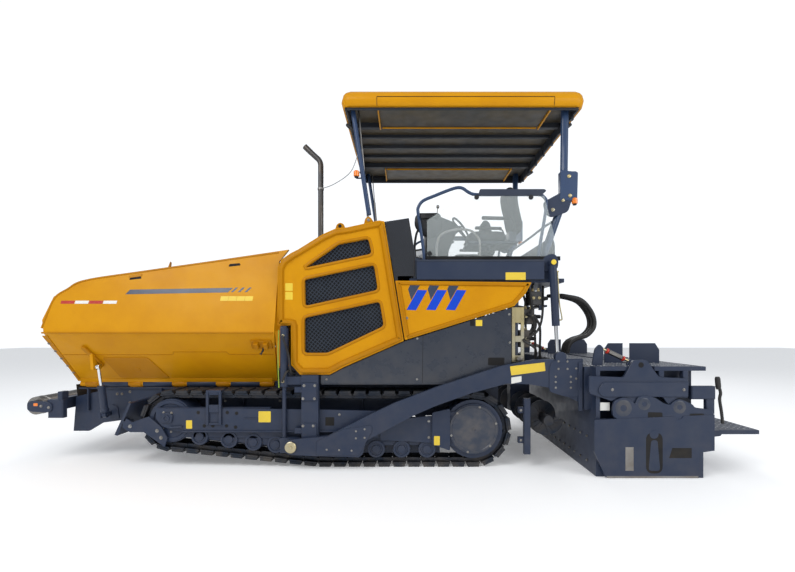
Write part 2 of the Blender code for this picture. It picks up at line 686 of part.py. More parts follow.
def wing_cylinder(side, s):
    foot = (WING_CYLINDER_X, s * WING_FOOT[0], WING_FOOT[1])
    eye = (WING_CYLINDER_X, s * WING_EYE[0], WING_EYE[1])
    cylinder_pair((f"wing_cylinder_{side}", f"wing_rod_{side}"), foot, eye, (1, 0, 0), 0.32, 0.024, 0.015)


# ---- push rollers ----
def push_beam():
    pieces = [
        block((-3.50, -1.0, 0.54), (-3.42, 1.0, 0.66)),
        drum((PUSH_PIVOT_X, 0, 0.50), (PUSH_PIVOT_X, 0, 0.70), 0.06, 20),
    ]
    hole = drum((PUSH_PIVOT_X, 0, 0.4), (PUSH_PIVOT_X, 0, 0.8), PUSH_PIN_R + PIN_PLAY, 18)
    for y in (-1.0, -0.16, 0.12, 0.96):
        pieces.append(block((-3.67, y, 0.57), (-3.49, y + 0.04, 0.62)))
    return node("push_beam", "frame_blue", pieces, [hole], (PUSH_PIVOT_X, 0, 0.6))


def push_roller(side, s):
    ends = [(ROLLER_X, s * y, ROLLER_Z) for y in (0.1608, 0.9592)]
    pivot = (ROLLER_X, s * 0.56, ROLLER_Z)
    return node(f"push_roller_{side}", "steel", [drum(*ends, ROLLER_R, 28)], (), pivot)


# ---- screed towing gear ----
def guide_post(side, s):
    """The tow point's guide in front of the track, and the levelling cylinder's barrel."""
    y = 1.20
    pieces = [
        block((-0.765, s * 1.165, 0.14), (-0.595, s * 1.235, 0.945)),
        block((-0.765, s * (FRAME_HALF + GAP), 0.86), (-0.62, s * 1.20, 0.94)),
        block((LEVEL_X - 0.03, s * 1.165, 1.36), (LEVEL_X + 0.03, s * 1.235, 1.44)),
        drum((LEVEL_X, s * y, 0.83), (LEVEL_X, s * y, 1.42), LEVEL_BORE + 0.012, 18),
        block((LEVEL_X + 0.02, s * 1.18, 0.85), (-0.74, s * 1.22, 0.93)),
    ]
    bore = drum((LEVEL_X, s * y, 0.75), (LEVEL_X, s * y, 1.36), LEVEL_BORE, 18)
    return node(f"guide_post_{side}", "frame_blue", pieces, [bore])


def tow_point(side, s):
    y = 1.20
    pieces = [
        block((LEVEL_X - 0.035, s * 1.165, 0.165), (-0.780, s * 1.238, 0.315)),
        drum((LEVEL_X, s * y, 0.30), (LEVEL_X, s * y, 0.93), 0.020, 18),
        drum((LEVEL_X, s * y, 0.90), (LEVEL_X, s * y, 0.95), LEVEL_BORE - 0.0006, 18),
        drum((TOW_X, s * 1.20, TOW_Z), (TOW_X, s * 1.315, TOW_Z), TOW_PIN_R, 20),
    ]
    return node(f"tow_point_{side}", "chrome", pieces, (), (TOW_X, s * 1.25, TOW_Z))


def tow_arm(side, s):
    """The long curved plate from the tow pin over the sprocket to the screed."""
    lower = [(-0.605, 0.15), (-0.555, 0.15), (-0.18, 0.14), (-0.145, 0.17), (-0.108, 0.304),
             (0.037, 0.384), (0.371, 0.558), (0.589, 0.652), (0.937, 0.776), (1.285, 0.87),
             (1.505, 0.862), (1.685, 0.833), (1.995, 0.687), (ARM_REAR_X, 0.61)]
    upper = [(ARM_REAR_X, 1.117), (1.562, 1.107), (1.228, 1.045), (1.025, 0.979), (0.589, 0.836),
             (0.182, 0.682), (-0.052, 0.573), (-0.493, 0.348)]
    nose = arc((TOW_X, TOW_Z), 0.075, 110, 270, 8)
    hole = drum((TOW_X, s * 1.2, TOW_Z), (TOW_X, s * 1.4, TOW_Z), TOW_PIN_R + PIN_PLAY, 20)
    plate = sheet("xz", lower + upper + nose, s * ARM_INNER, s * (ARM_INNER + ARM_WALL))
    lug_ends = [(LIFT_EYE[0], s * y, LIFT_EYE[1]) for y in (ARM_INNER, ARM_INNER + ARM_WALL + 0.01)]
    lug = drum(*lug_ends, 0.055, 20)
    return node(f"tow_arm_{side}", "frame_blue", [plate, lug], [hole], (TOW_X, s * ARM_INNER, TOW_Z))


def lift_cylinder(side, s):
    foot = (LIFT_TOP[0], s * LIFT_Y, LIFT_TOP[1])
    eye = (LIFT_EYE[0], s * LIFT_Y, LIFT_EYE[1])
    names = (f"lift_cylinder_{side}", f"lift_rod_{side}")
    eye_reach = ARM_INNER - LIFT_Y - 0.0005
    cylinder_pair(names, foot, eye, (0, s, 0), 0.64, LIFT_BORE, 0.018, eye_reach)


# ---- auger ----
def auger(side, s):
    """A shaft with a screw blade swept round it."""
    start = HANGER_HALF + 2 * GAP
    end = AUGER_END_Y
    shaft = drum((AUGER_X, s * start, AUGER_Z), (AUGER_X, s * end, AUGER_Z), AUGER_SHAFT_R, 16)
    steps = 18 * AUGER_TURNS + 1    # one more, so that no blade edge meets a shaft edge
    half = AUGER_BLADE_HALF
    shape = bmesh.new()
    rows = []
    for k in range(steps + 1):
        a = 2 * math.pi * AUGER_TURNS * k / steps
        y = start + 0.06 + (end - start - 0.12) * k / steps
        row = []
        for radius, shift in ((0.03, -half), (AUGER_R, -half), (AUGER_R, half), (0.03, half)):
            row.append(shape.verts.new((
                AUGER_X + radius * math.cos(a), s * (y + shift), AUGER_Z + radius * math.sin(a),
            )))
        rows.append(row)
    for low, high in zip(rows, rows[1:]):
        for k in range(4):
            shape.faces.new((low[k], low[(k + 1) % 4], high[(k + 1) % 4], high[k]))
    shape.faces.new(rows[0])
    shape.faces.new(rows[-1])
    blade = mesh_object("blade", shape)
    return node(f"auger_{side}", "steel", [shaft, blade], (), (AUGER_X, s * 0.6, AUGER_Z))


def auger_hanger():
    """The gearbox between the auger's halves, hung from the frame's tail."""
    pieces = [
        block((FRAME_REAR_X + GAP, -0.085, 0.80), (1.66, 0.085, 0.95)),
        block((1.60, -HANGER_HALF, AUGER_Z - 0.10), (1.84, HANGER_HALF, 0.90)),
    ]
    return node("auger_hanger", "frame_blue", pieces)


# ---- screed ----
def screed_body():
    half = SCREED_HALF - END_PLATE - RUN_CLEAR
    pieces = [
        block((SCREED_FRONT_X, -half, 0.0), (SCREED_REAR_X, half, SCREED_BOX_Z)),
        block((SCREED_FRONT_X, -half, WALKWAY_Z - WALKWAY_PLATE), (SCREED_REAR_X, half, WALKWAY_Z)),
        block((SCREED_FRONT_X, -half, 0.40), (SCREED_FRONT_X + 0.04, half, WALKWAY_Z - 0.01)),
    ]
    for y in (-1.28, -0.5, 0.44, 1.22):
        pieces.append(block(
            (SCREED_FRONT_X + 0.01, y, 0.40), (SCREED_REAR_X - 0.03, y + 0.06, WALKWAY_Z - 0.01),
        ))
    for s in (-1, 1):
        pieces.append(block((ARM_REAR_X + GAP, s * 1.16, 0.62), (SCREED_FRONT_X + 0.01, s * 1.34, 1.04)))
    pieces.append(block((SCREED_REAR_X - 0.05, -0.035, 0.43), (GUIDE_X + 0.06, 0.035, WALKWAY_Z - 0.015)))
    pieces.append(block((SCREED_REAR_X - 0.04, -0.30, 0.41), (SCREED_REAR_X - 0.01, 0.30, WALKWAY_Z - 0.01)))
    for z in GUIDE_Z:
        pieces.append(drum((GUIDE_X, -half, z), (GUIDE_X, half, z), GUIDE_R, 20))
    return node("screed_body", "frame_blue", pieces, (), (TOW_X, 0, TOW_Z))


def screed_extension(side, s):
    outer = SCREED_HALF
    inner = RUN_CLEAR
    front = EXTENSION_FRONT_X
    rear = EXTENSION_REAR_X
    end_plate = [
        (2.065, 0.55), (2.065, 0.25), (2.17, 0.01), (3.05, 0.0), (3.06, 0.24), (3.20, 0.26), (3.20, 0.60),
    ]
    pieces = [
        block((front, s * inner, 0.0), (rear, s * (outer - 0.01), SCREED_BOX_Z)),
        sheet("xz", end_plate, s * (outer - END_PLATE), s * outer),
        block((front + 0.03, s * 0.05, WALKWAY_Z - WALKWAY_PLATE), (rear + 0.05, s * 1.45, WALKWAY_Z)),
        block((rear - 0.01, s * 0.10, 0.34), (STEP_HINGE_X - 0.05, s * 1.40, 0.41)),
    ]
    for y in (1.30, 0.20):
        pieces.append(block((front + 0.06, s * y, 0.40), (rear - 0.02, s * (y + RIB_WALL), WALKWAY_Z - 0.01)))
    for y in (0.10, 1.36):
        lug = [(rear - 0.02, 0.35), (rear - 0.02, 0.42)]
        lug += arc((STEP_HINGE_X, STEP_HINGE_Z), STEP_LUG_R, 90, -90, 8)
        pieces.append(sheet("xz", lug, s * y, s * (y + 0.04)))
    low = GUIDE_Z[0] - 0.08
    high = GUIDE_Z[1] + 0.08
    for y in (0.06, 0.21):
        pieces.append(block((GUIDE_X - 0.08, s * y, low), (GUIDE_X + 0.08, s * (y + 0.03), high)))
    pieces.append(block((GUIDE_X + 0.055, s * 0.065, 0.50), (GUIDE_X + 0.075, s * 0.235, 0.96)))
    cuts = [
        drum((GUIDE_X, 0, z), (GUIDE_X, s * (outer + 0.1), z), GUIDE_R + 0.0008, 20) for z in GUIDE_Z
    ]
    return node(f"screed_extension_{side}", "frame_blue", pieces, cuts, (front, s * 0.75, 0.2))


def rear_step(side, s):
    x = STEP_HINGE_X
    z = STEP_HINGE_Z
    pieces = [
        drum((x, s * 0.1406, z), (x, s * 1.3594, z), 0.022, 16),
        block((x, s * 0.15, z - STEP_HALF), (x + STEP_REACH, s * 1.35, z + STEP_HALF)),
    ]
    return node(f"rear_step_{side}", "frame_blue", pieces, (), (x, s * 0.75, z))


def build():
    main_frame()
    conveyor()
    hopper_bulkhead()
    engine_block()
    hood()
    exhaust_pipe()
    operator_platform()
    control_console()
    roof()
    roof_frame()
    push_beam()
    auger_hanger()
    screed_body()
    for side, s in SIDES:
        for make in (
            track, track_frame, track_scraper, side_cover, side_grille, rear_side_panel,
            lower_side_panel, seat, side_glass, guard_rail, hopper_wing, wing_cylinder,
            push_roller, guide_post, tow_point, tow_arm, lift_cylinder, auger,
            screed_extension, rear_step,
        ):
            make(side, s)


clear_scene()
PAVER = new_collection("asphalt_paver")
HELPERS = new_collection("cutters")
build()
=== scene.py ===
import json
import math

import bmesh
import bpy
import numpy as np
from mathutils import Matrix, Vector


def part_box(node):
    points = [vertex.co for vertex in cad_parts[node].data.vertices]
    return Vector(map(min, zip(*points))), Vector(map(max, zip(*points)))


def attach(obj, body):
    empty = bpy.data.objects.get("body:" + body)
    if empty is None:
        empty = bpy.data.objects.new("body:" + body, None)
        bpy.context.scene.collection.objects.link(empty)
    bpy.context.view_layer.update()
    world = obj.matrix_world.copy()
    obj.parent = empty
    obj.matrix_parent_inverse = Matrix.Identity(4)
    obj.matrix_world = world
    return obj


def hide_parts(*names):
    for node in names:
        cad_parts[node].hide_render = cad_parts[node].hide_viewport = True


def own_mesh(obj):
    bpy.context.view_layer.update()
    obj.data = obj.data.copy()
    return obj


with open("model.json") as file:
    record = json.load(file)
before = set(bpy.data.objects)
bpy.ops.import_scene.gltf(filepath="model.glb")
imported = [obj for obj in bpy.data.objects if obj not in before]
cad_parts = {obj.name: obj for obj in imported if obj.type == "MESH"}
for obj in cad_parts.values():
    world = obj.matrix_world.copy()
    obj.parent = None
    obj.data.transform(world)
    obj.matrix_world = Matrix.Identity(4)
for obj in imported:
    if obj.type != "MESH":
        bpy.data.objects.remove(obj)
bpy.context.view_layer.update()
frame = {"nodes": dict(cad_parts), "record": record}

sides = (("left", -1), ("right", 1))
print("frame loaded:", len(frame["nodes"]), "nodes")


# camera, floor and light
# the camera stands level, square to the machine's left side
cameraView = {"place": (0.275, -5.75, 1.40), "lens": 20.38, "shiftX": -0.0094, "shiftY": 0.0553}


def makeCamera():
    data = bpy.data.cameras.new("camera")
    data.lens = cameraView["lens"]
    data.sensor_width = 36.0
    data.shift_x = cameraView["shiftX"]
    data.shift_y = cameraView["shiftY"]
    data.clip_end = 200.0
    camera = bpy.data.objects.new("camera", data)
    camera.location = cameraView["place"]
    camera.rotation_euler = (math.pi / 2, 0.0, 0.0)
    bpy.context.scene.collection.objects.link(camera)
    bpy.context.scene.camera = camera


# key from the front left and above, fill from the rear left, both large and soft
lamps = {
    "key": {"place": (-5.5, -7.5, 8.5), "aim": (0.0, 0.0, 1.2), "size": 6.0, "power": 600.0},
    "fill": {"place": (8.0, -7.0, 5.5), "aim": (0.5, 0.0, 1.2), "size": 6.0, "power": 380.0},
    "back": {"place": (1.0, 8.5, 7.0), "aim": (0.0, 0.0, 1.5), "size": 7.0, "power": 420.0},
}
studio = {"world": (0.90, 0.93, 0.97), "worldStrength": 0.62, "backdrop": 1.15,
    "floor": (0.90, 0.905, 0.91), "floorGlow": 0.20, "floorSize": 60.0}


def makeStudio():
    for name, lamp in lamps.items():
        data = bpy.data.lights.new(name, "AREA")
        data.shape = "DISK"
        data.size = lamp["size"]
        data.energy = lamp["power"]
        light = bpy.data.objects.new(name, data)
        light.location = lamp["place"]
        aim = Vector(lamp["aim"]) - Vector(lamp["place"])
        light.rotation_euler = aim.to_track_quat("-Z", "Y").to_euler()
        bpy.context.scene.collection.objects.link(light)
    world = bpy.data.worlds.new("studio")
    world.use_nodes = True
    sky = world.node_tree.nodes["Background"]
    sky.inputs["Color"].default_value = (*studio["world"], 1.0)
    # the backdrop is seen brighter than it lights the machine
    seen = world.node_tree.nodes.new("ShaderNodeLightPath")
    level = world.node_tree.nodes.new("ShaderNodeMapRange")
    level.inputs["To Min"].default_value = studio["worldStrength"]
    level.inputs["To Max"].default_value = studio["backdrop"]
    world.node_tree.links.new(seen.outputs["Is Camera Ray"], level.inputs["Value"])
    world.node_tree.links.new(level.outputs["Result"], sky.inputs["Strength"])
    bpy.context.scene.world = world
    bpy.context.scene.view_settings.view_transform = "Standard"
    half = studio["floorSize"] / 2
    mesh = bpy.data.meshes.new("floor")
    mesh.from_pydata([(-half, -half, 0), (half, -half, 0), (half, half, 0), (-half, half, 0)], [],
        [(0, 1, 2, 3)])
    floor = bpy.data.objects.new("floor", mesh)
    bpy.context.scene.collection.objects.link(floor)
    floor.location.z = -0.002
    paint = bpy.data.materials.new("floorPaint")
    paint.use_nodes = True
    shader = paint.node_tree.nodes["Principled BSDF"]
    shader.inputs["Base Color"].default_value = (*studio["floor"], 1.0)
    shader.inputs["Roughness"].default_value = 0.7
    shader.inputs["Emission Color"].default_value = (*studio["floor"], 1.0)
    shader.inputs["Emission Strength"].default_value = studio["floorGlow"]
    mesh.materials.append(paint)


makeCamera()
makeStudio()
print("camera, floor and lamps made")


# finishes
# base: colour, tint: what it wears or fades to, rough: lowest and highest, grain: fine grains per metre,
# bump: height of the grain, dust: how much dry dust lies low down
finishes = {
    "machineYellow": {"base": (0.425, 0.176, 0.001), "tint": (0.375, 0.148, 0.001), "specular": 0.10,
        "rough": (0.34, 0.48), "grain": 160, "bump": 0.08, "dust": 0.10, "coat": 0.06},
    "frameBlue": {"base": (0.017, 0.027, 0.056), "tint": (0.024, 0.034, 0.062), "rough": (0.34, 0.52),
        "grain": 140, "bump": 0.12, "dust": 0.08, "coat": 0.05},
    "postBlue": {"base": (0.020, 0.044, 0.105), "tint": (0.026, 0.050, 0.100), "rough": (0.32, 0.48),
        "grain": 150, "bump": 0.10, "dust": 0.10, "coat": 0.2},
    "hoodSlate": {"base": (0.018, 0.024, 0.038), "tint": (0.024, 0.030, 0.044), "rough": (0.22, 0.40),
        "grain": 120, "bump": 0.08, "dust": 0.2, "coat": 0.5},
    "blackPlastic": {"base": (0.012, 0.013, 0.015), "tint": (0.028, 0.028, 0.030), "rough": (0.45, 0.65),
        "grain": 420, "bump": 0.20, "dust": 0.2, "coat": 0.0},
    "grilleMesh": {"base": (0.024, 0.034, 0.052), "tint": (0.034, 0.044, 0.062), "rough": (0.50, 0.70),
        "grain": 260, "bump": 0.20, "dust": 0.2, "coat": 0.0},
    "trackRubber": {"base": (0.007, 0.012, 0.022), "tint": (0.020, 0.024, 0.032), "rough": (0.60, 0.85),
        "grain": 90, "bump": 0.45, "dust": 0.30, "coat": 0.0},
    "slatePaint": {"base": (0.024, 0.033, 0.055), "tint": (0.034, 0.042, 0.062), "rough": (0.30, 0.50),
        "grain": 140, "bump": 0.12, "dust": 0.35, "coat": 0.2},
    "hoodGloss": {"base": (0.010, 0.012, 0.017), "tint": (0.018, 0.020, 0.026), "rough": (0.08, 0.22),
        "grain": 120, "bump": 0.04, "dust": 0.1, "coat": 0.8},
    # deepBlack colours dark joints and the seal, and the dark patches that stand for holes and openings as
    # painted shade
    "deepBlack": {"base": (0.004, 0.004, 0.005), "tint": (0.010, 0.010, 0.011), "rough": (0.60, 0.85),
        "grain": 200, "bump": 0.10, "dust": 0.1, "coat": 0.0},
    "hoseRubber": {"base": (0.010, 0.010, 0.011), "tint": (0.026, 0.025, 0.024), "rough": (0.35, 0.60),
        "grain": 600, "bump": 0.30, "dust": 0.2, "coat": 0.0},
    "roofDark": {"base": (0.020, 0.024, 0.032), "tint": (0.034, 0.038, 0.046), "rough": (0.45, 0.65),
        "grain": 200, "bump": 0.15, "dust": 0.0, "coat": 0.0},
    # the roof's yellow underside, painted dim brown as painted shade
    "roofPaintedShade": {"base": (0.085, 0.068, 0.042), "tint": (0.052, 0.054, 0.056), "rough": (0.45, 0.65),
        "grain": 200, "bump": 0.12, "dust": 0.0, "coat": 0.0},
    "roofLip": {"base": (0.56, 0.25, 0.003), "tint": (0.50, 0.21, 0.003), "specular": 0.10,
        "rough": (0.30, 0.45), "grain": 180, "bump": 0.08, "dust": 0.0, "coat": 0.05},
    "labelYellow": {"base": (0.72, 0.52, 0.04), "tint": (0.64, 0.45, 0.05), "rough": (0.35, 0.50),
        "grain": 300, "bump": 0.05, "dust": 0.1, "coat": 0.1},
    "labelWhite": {"base": (0.70, 0.70, 0.67), "tint": (0.60, 0.60, 0.56), "rough": (0.35, 0.50),
        "grain": 300, "bump": 0.05, "dust": 0.1, "coat": 0.1},
    "stripeBlue": {"base": (0.004, 0.055, 0.520), "tint": (0.005, 0.048, 0.450), "specular": 0.12,
        "rough": (0.28, 0.42), "grain": 260, "bump": 0.05, "dust": 0.1, "coat": 0.3},
    "stripeSlate": {"base": (0.030, 0.042, 0.075), "tint": (0.038, 0.050, 0.084), "rough": (0.28, 0.42),
        "grain": 260, "bump": 0.05, "dust": 0.1, "coat": 0.3},
    "reflectorRed": {"base": (0.42, 0.020, 0.012), "tint": (0.34, 0.018, 0.012), "rough": (0.20, 0.35),
        "grain": 700, "bump": 0.25, "dust": 0.1, "coat": 0.5},
    "reflectorWhite": {"base": (0.72, 0.72, 0.70), "tint": (0.62, 0.62, 0.60), "rough": (0.20, 0.35),
        "grain": 700, "bump": 0.25, "dust": 0.1, "coat": 0.5},
    "clampRed": {"base": (0.50, 0.030, 0.015), "tint": (0.42, 0.026, 0.014), "rough": (0.30, 0.45),
        "grain": 240, "bump": 0.08, "dust": 0.1, "coat": 0.2},
    "lampOrange": {"base": (0.80, 0.20, 0.010), "tint": (0.70, 0.16, 0.010), "rough": (0.10, 0.20),
        "grain": 300, "bump": 0.10, "dust": 0.0, "coat": 0.8},
    "seatFabric": {"base": (0.016, 0.017, 0.020), "tint": (0.034, 0.035, 0.038), "rough": (0.75, 0.95),
        "grain": 900, "bump": 0.60, "dust": 0.0, "coat": 0.0},
    "ropeGreen": {"base": (0.30, 0.42, 0.05), "tint": (0.24, 0.33, 0.06), "rough": (0.60, 0.80),
        "grain": 700, "bump": 0.60, "dust": 0.1, "coat": 0.0},
    "engineIron": {"base": (0.070, 0.070, 0.072), "tint": (0.110, 0.095, 0.080), "rough": (0.50, 0.75),
        "grain": 110, "bump": 0.35, "dust": 0.3, "coat": 0.0},
}
metals = {
    "chainSteel": {"base": (0.028, 0.036, 0.052), "tint": (0.070, 0.070, 0.076), "rough": (0.42, 0.68),
        "grain": 110, "bump": 0.40, "dust": 0.3, "coat": 0.0},
    "exhaustSteel": {"base": (0.085, 0.085, 0.088), "tint": (0.120, 0.100, 0.080), "rough": (0.30, 0.50),
        "grain": 150, "bump": 0.15, "dust": 0.1, "coat": 0.0},
    "walkSteel": {"base": (0.46, 0.47, 0.48), "tint": (0.34, 0.34, 0.34), "rough": (0.30, 0.50),
        "grain": 130, "bump": 0.15, "dust": 0.2, "coat": 0.0},
    "wornSteel": {"base": (0.30, 0.295, 0.285), "tint": (0.17, 0.15, 0.13), "rough": (0.30, 0.55),
        "grain": 120, "bump": 0.20, "dust": 0.3, "coat": 0.0},
    "rodChrome": {"base": (0.72, 0.73, 0.74), "tint": (0.62, 0.62, 0.63), "rough": (0.06, 0.16),
        "grain": 200, "bump": 0.02, "dust": 0.05, "coat": 0.0},
    "zincYellow": {"base": (0.52, 0.44, 0.24), "tint": (0.44, 0.42, 0.34), "rough": (0.25, 0.45),
        "grain": 180, "bump": 0.08, "dust": 0.1, "coat": 0.0},
}


def makeFinish(name, look, metallic=0.0):
    # paint or metal: two sizes of noise shift the colour and the gloss, dust gathers low down, fine
    # grain bumps it
    paint = bpy.data.materials.new(name)
    paint.use_nodes = True
    tree = paint.node_tree
    add = tree.nodes.new
    join = tree.links.new
    shader = tree.nodes["Principled BSDF"]
    shader.inputs["Metallic"].default_value = metallic
    shader.inputs["Coat Weight"].default_value = look["coat"]
    shader.inputs["Coat Roughness"].default_value = 0.15
    shader.inputs["Specular IOR Level"].default_value = look.get("specular", 0.30)
    place = add("ShaderNodeTexCoord")
    cloudy = add("ShaderNodeTexNoise")
    cloudy.inputs["Scale"].default_value = 2.3
    cloudy.inputs["Detail"].default_value = 5.0
    cloudy.inputs["Roughness"].default_value = 0.62
    join(place.outputs["Object"], cloudy.inputs["Vector"])
    fade = add("ShaderNodeMix")
    fade.data_type = "RGBA"
    fade.inputs["A"].default_value = (*look["base"], 1.0)
    fade.inputs["B"].default_value = (*look["tint"], 1.0)
    spread = add("ShaderNodeMapRange")
    spread.inputs["From Min"].default_value = 0.42
    spread.inputs["From Max"].default_value = 0.72
    join(cloudy.outputs["Fac"], spread.inputs["Value"])
    join(spread.outputs["Result"], fade.inputs["Factor"])
    # dust: strongest at the ground, gone at 1.6 metres, broken up by noise
    split = add("ShaderNodeSeparateXYZ")
    join(place.outputs["Object"], split.inputs["Vector"])
    low = add("ShaderNodeMapRange")
    low.inputs["From Min"].default_value = 1.6
    low.inputs["From Max"].default_value = 0.0
    low.inputs["To Max"].default_value = look["dust"]
    join(split.outputs["Z"], low.inputs["Value"])
    patchy = add("ShaderNodeTexNoise")
    patchy.inputs["Scale"].default_value = 9.0
    patchy.inputs["Detail"].default_value = 6.0
    join(place.outputs["Object"], patchy.inputs["Vector"])
    broken = add("ShaderNodeMapRange")
    broken.inputs["From Min"].default_value = 0.38
    broken.inputs["From Max"].default_value = 0.75
    join(patchy.outputs["Fac"], broken.inputs["Value"])
    dusty = add("ShaderNodeMath")
    dusty.operation = "MULTIPLY"
    join(low.outputs["Result"], dusty.inputs[0])
    join(broken.outputs["Result"], dusty.inputs[1])
    cover = add("ShaderNodeMix")
    cover.data_type = "RGBA"
    cover.inputs["B"].default_value = (0.23, 0.19, 0.14, 1.0)
    join(fade.outputs["Result"], cover.inputs["A"])
    join(dusty.outputs["Value"], cover.inputs["Factor"])
    join(cover.outputs["Result"], shader.inputs["Base Color"])
    grain = add("ShaderNodeTexNoise")
    grain.inputs["Scale"].default_value = look["grain"]
    grain.inputs["Detail"].default_value = 3.0
    join(place.outputs["Object"], grain.inputs["Vector"])
    gloss = add("ShaderNodeMapRange")
    gloss.inputs["From Min"].default_value = 0.3
    gloss.inputs["From Max"].default_value = 0.7
    gloss.inputs["To Min"].default_value = look["rough"][0]
    gloss.inputs["To Max"].default_value = look["rough"][1]
    join(patchy.outputs["Fac"], gloss.inputs["Value"])
    join(gloss.outputs["Result"], shader.inputs["Roughness"])
    bump = add("ShaderNodeBump")
    bump.inputs["Strength"].default_value = look["bump"]
    bump.inputs["Distance"].default_value = 0.002
    join(grain.outputs["Fac"], bump.inputs["Height"])
    join(bump.outputs["Normal"], shader.inputs["Normal"])
    return paint


def makeGlass():
    glass = bpy.data.materials.new("clearGlass")
    glass.use_nodes = True
    tree = glass.node_tree
    shader = tree.nodes["Principled BSDF"]
    shader.inputs["Base Color"].default_value = (0.80, 0.88, 0.88, 1.0)
    shader.inputs["Alpha"].default_value = 0.14
    shader.inputs["Specular IOR Level"].default_value = 0.8
    place = tree.nodes.new("ShaderNodeTexCoord")
    smear = tree.nodes.new("ShaderNodeTexNoise")
    smear.inputs["Scale"].default_value = 5.0
    smear.inputs["Detail"].default_value = 4.0
    haze = tree.nodes.new("ShaderNodeMapRange")
    haze.inputs["To Min"].default_value = 0.02
    haze.inputs["To Max"].default_value = 0.16
    tree.links.new(place.outputs["Object"], smear.inputs["Vector"])
    tree.links.new(smear.outputs["Fac"], haze.inputs["Value"])
    tree.links.new(haze.outputs["Result"], shader.inputs["Roughness"])
    return glass


materials = {name: makeFinish(name, look) for name, look in finishes.items()}
materials.update({name: makeFinish(name, look, 1.0) for name, look in metals.items()})
materials["clearGlass"] = makeGlass()
slotOf = {
    "machineYellow": "machine_yellow", "frameBlue": "frame_blue", "postBlue": "post_blue",
    "hoodSlate": "hood_slate",
    "blackPlastic": "black_plastic", "grilleMesh": "grille_mesh", "trackRubber": "track_rubber",
    "wornSteel": "worn_steel", "chainSteel": "worn_steel", "walkSteel": "worn_steel",
    "exhaustSteel": "worn_steel",
    "slatePaint": "hood_slate", "deepBlack": "grille_mesh", "hoodGloss": "hood_slate",
    "roofLip": "machine_yellow", "hoseRubber": "black_plastic",
    "rodChrome": "rod_chrome", "engineIron": "engine_iron", "clearGlass": "clear_glass",
}
print("finishes made:", len(materials))


# shape tools: a shape is a pair, its points as one array and its faces as lists
def outward(points, faces):
    # six times the enclosed volume is the sum of the corner triangles' triple products; a negative
    # one is turned round
    fans = np.array([(f[0], f[k], f[k + 1]) for f in faces for k in range(1, len(f) - 1)])
    a, b, c = points[fans[:, 0]], points[fans[:, 1]], points[fans[:, 2]]
    if np.einsum("ij,ij->i", a, np.cross(b, c)).sum() < 0:
        faces = [f[::-1] for f in faces]
    return points, faces


def loft(rings, closed=False):
    # rows of points joined by four-sided faces; the two ends are closed by flat faces, or joined to
    # each other
    rings = np.asarray(rings, float)
    rows, count = rings.shape[:2]
    index = np.arange(rows * count).reshape(rows, count)
    below = index if closed else index[:-1]
    above = np.roll(index, -1, axis=0) if closed else index[1:]
    quads = np.stack([below, np.roll(below, -1, axis=1), np.roll(above, -1, axis=1), above],
        axis=-1).reshape(-1, 4)
    faces = quads.tolist()
    if not closed:
        faces += [index[0, ::-1].tolist(), index[-1].tolist()]
    return outward(rings.reshape(-1, 3), faces)


def inset(outline, distance):
    # every corner moves inwards along its mitre, so that each side moves in by the distance
    outline = np.asarray(outline, float)
    side = np.roll(outline, -1, axis=0) - outline
    side /= np.linalg.norm(side, axis=1)[:, None]
    area = np.sum(outline[:, 0] * np.roll(outline[:, 1], -1) - np.roll(outline[:, 0], -1) * outline[:, 1])
    normal = np.stack([-side[:, 1], side[:, 0]], axis=1) * np.sign(area)
    before = np.roll(normal, 1, axis=0)
    mitre = (normal + before) / (1 + np.sum(normal * before, axis=1))[:, None]
    return outline + mitre * distance


def raised(flat, height, plane):
    # flat points of a plane, set at a height across it
    height = np.full(len(flat), height)
    columns = {"xz": (flat[:, 0], height, flat[:, 1]), "xy": (flat[:, 0], flat[:, 1], height),
        "yz": (height, flat[:, 0], flat[:, 1])}
    return np.stack(columns[plane], axis=1)


def plate(outline, low, high, bevel=0.003, plane="xz"):
    # the outline carried from low to high, drawn in by the bevel at both faces
    steps = ((low, bevel), (low + bevel, 0.0), (high - bevel, 0.0), (high, bevel))
    return loft([raised(inset(outline, d), h, plane) for h, d in steps])


def box(low, high, bevel=0.004):
    (x0, y0, z0), (x1, y1, z1) = low, high
    return plate([(x0, z0), (x1, z0), (x1, z1), (x0, z1)], y0, y1, bevel)


def rim(outline, width, low, high, bevel=0.004, plane="xz"):
    # a raised border: the outline moved out by the width and back, at rising and falling heights,
    # joined in a loop
    steps = ((0.0, low), (0.0, high - bevel), (-bevel, high), (bevel - width, high),
        (-width, high - bevel), (-width, low))
    return loft([raised(inset(outline, d), h, plane) for d, h in steps], closed=True)


def rounded(outline, radius, steps=4):
    # each corner is replaced by a curve whose weights run from the side before it to the side after it
    outline = np.asarray(outline, float)
    back = np.roll(outline, 1, axis=0) - outline
    ahead = np.roll(outline, -1, axis=0) - outline
    before, after = np.linalg.norm(back, axis=1), np.linalg.norm(ahead, axis=1)
    reach = np.minimum(radius, 0.45 * np.minimum(before, after))[:, None]
    start = outline + back / before[:, None] * reach
    end = outline + ahead / after[:, None] * reach
    t = np.linspace(0, 1, steps + 1)[None, :, None]
    curve = (1 - t) ** 2 * start[:, None] + 2 * t * (1 - t) * outline[:, None] + t ** 2 * end[:, None]
    return curve.reshape(-1, 2)


def circle(centre, radius, sides=24):
    turn = np.linspace(0, 2 * np.pi, sides, endpoint=False)
    return np.stack([centre[0] + radius * np.cos(turn), centre[1] + radius * np.sin(turn)], axis=1)


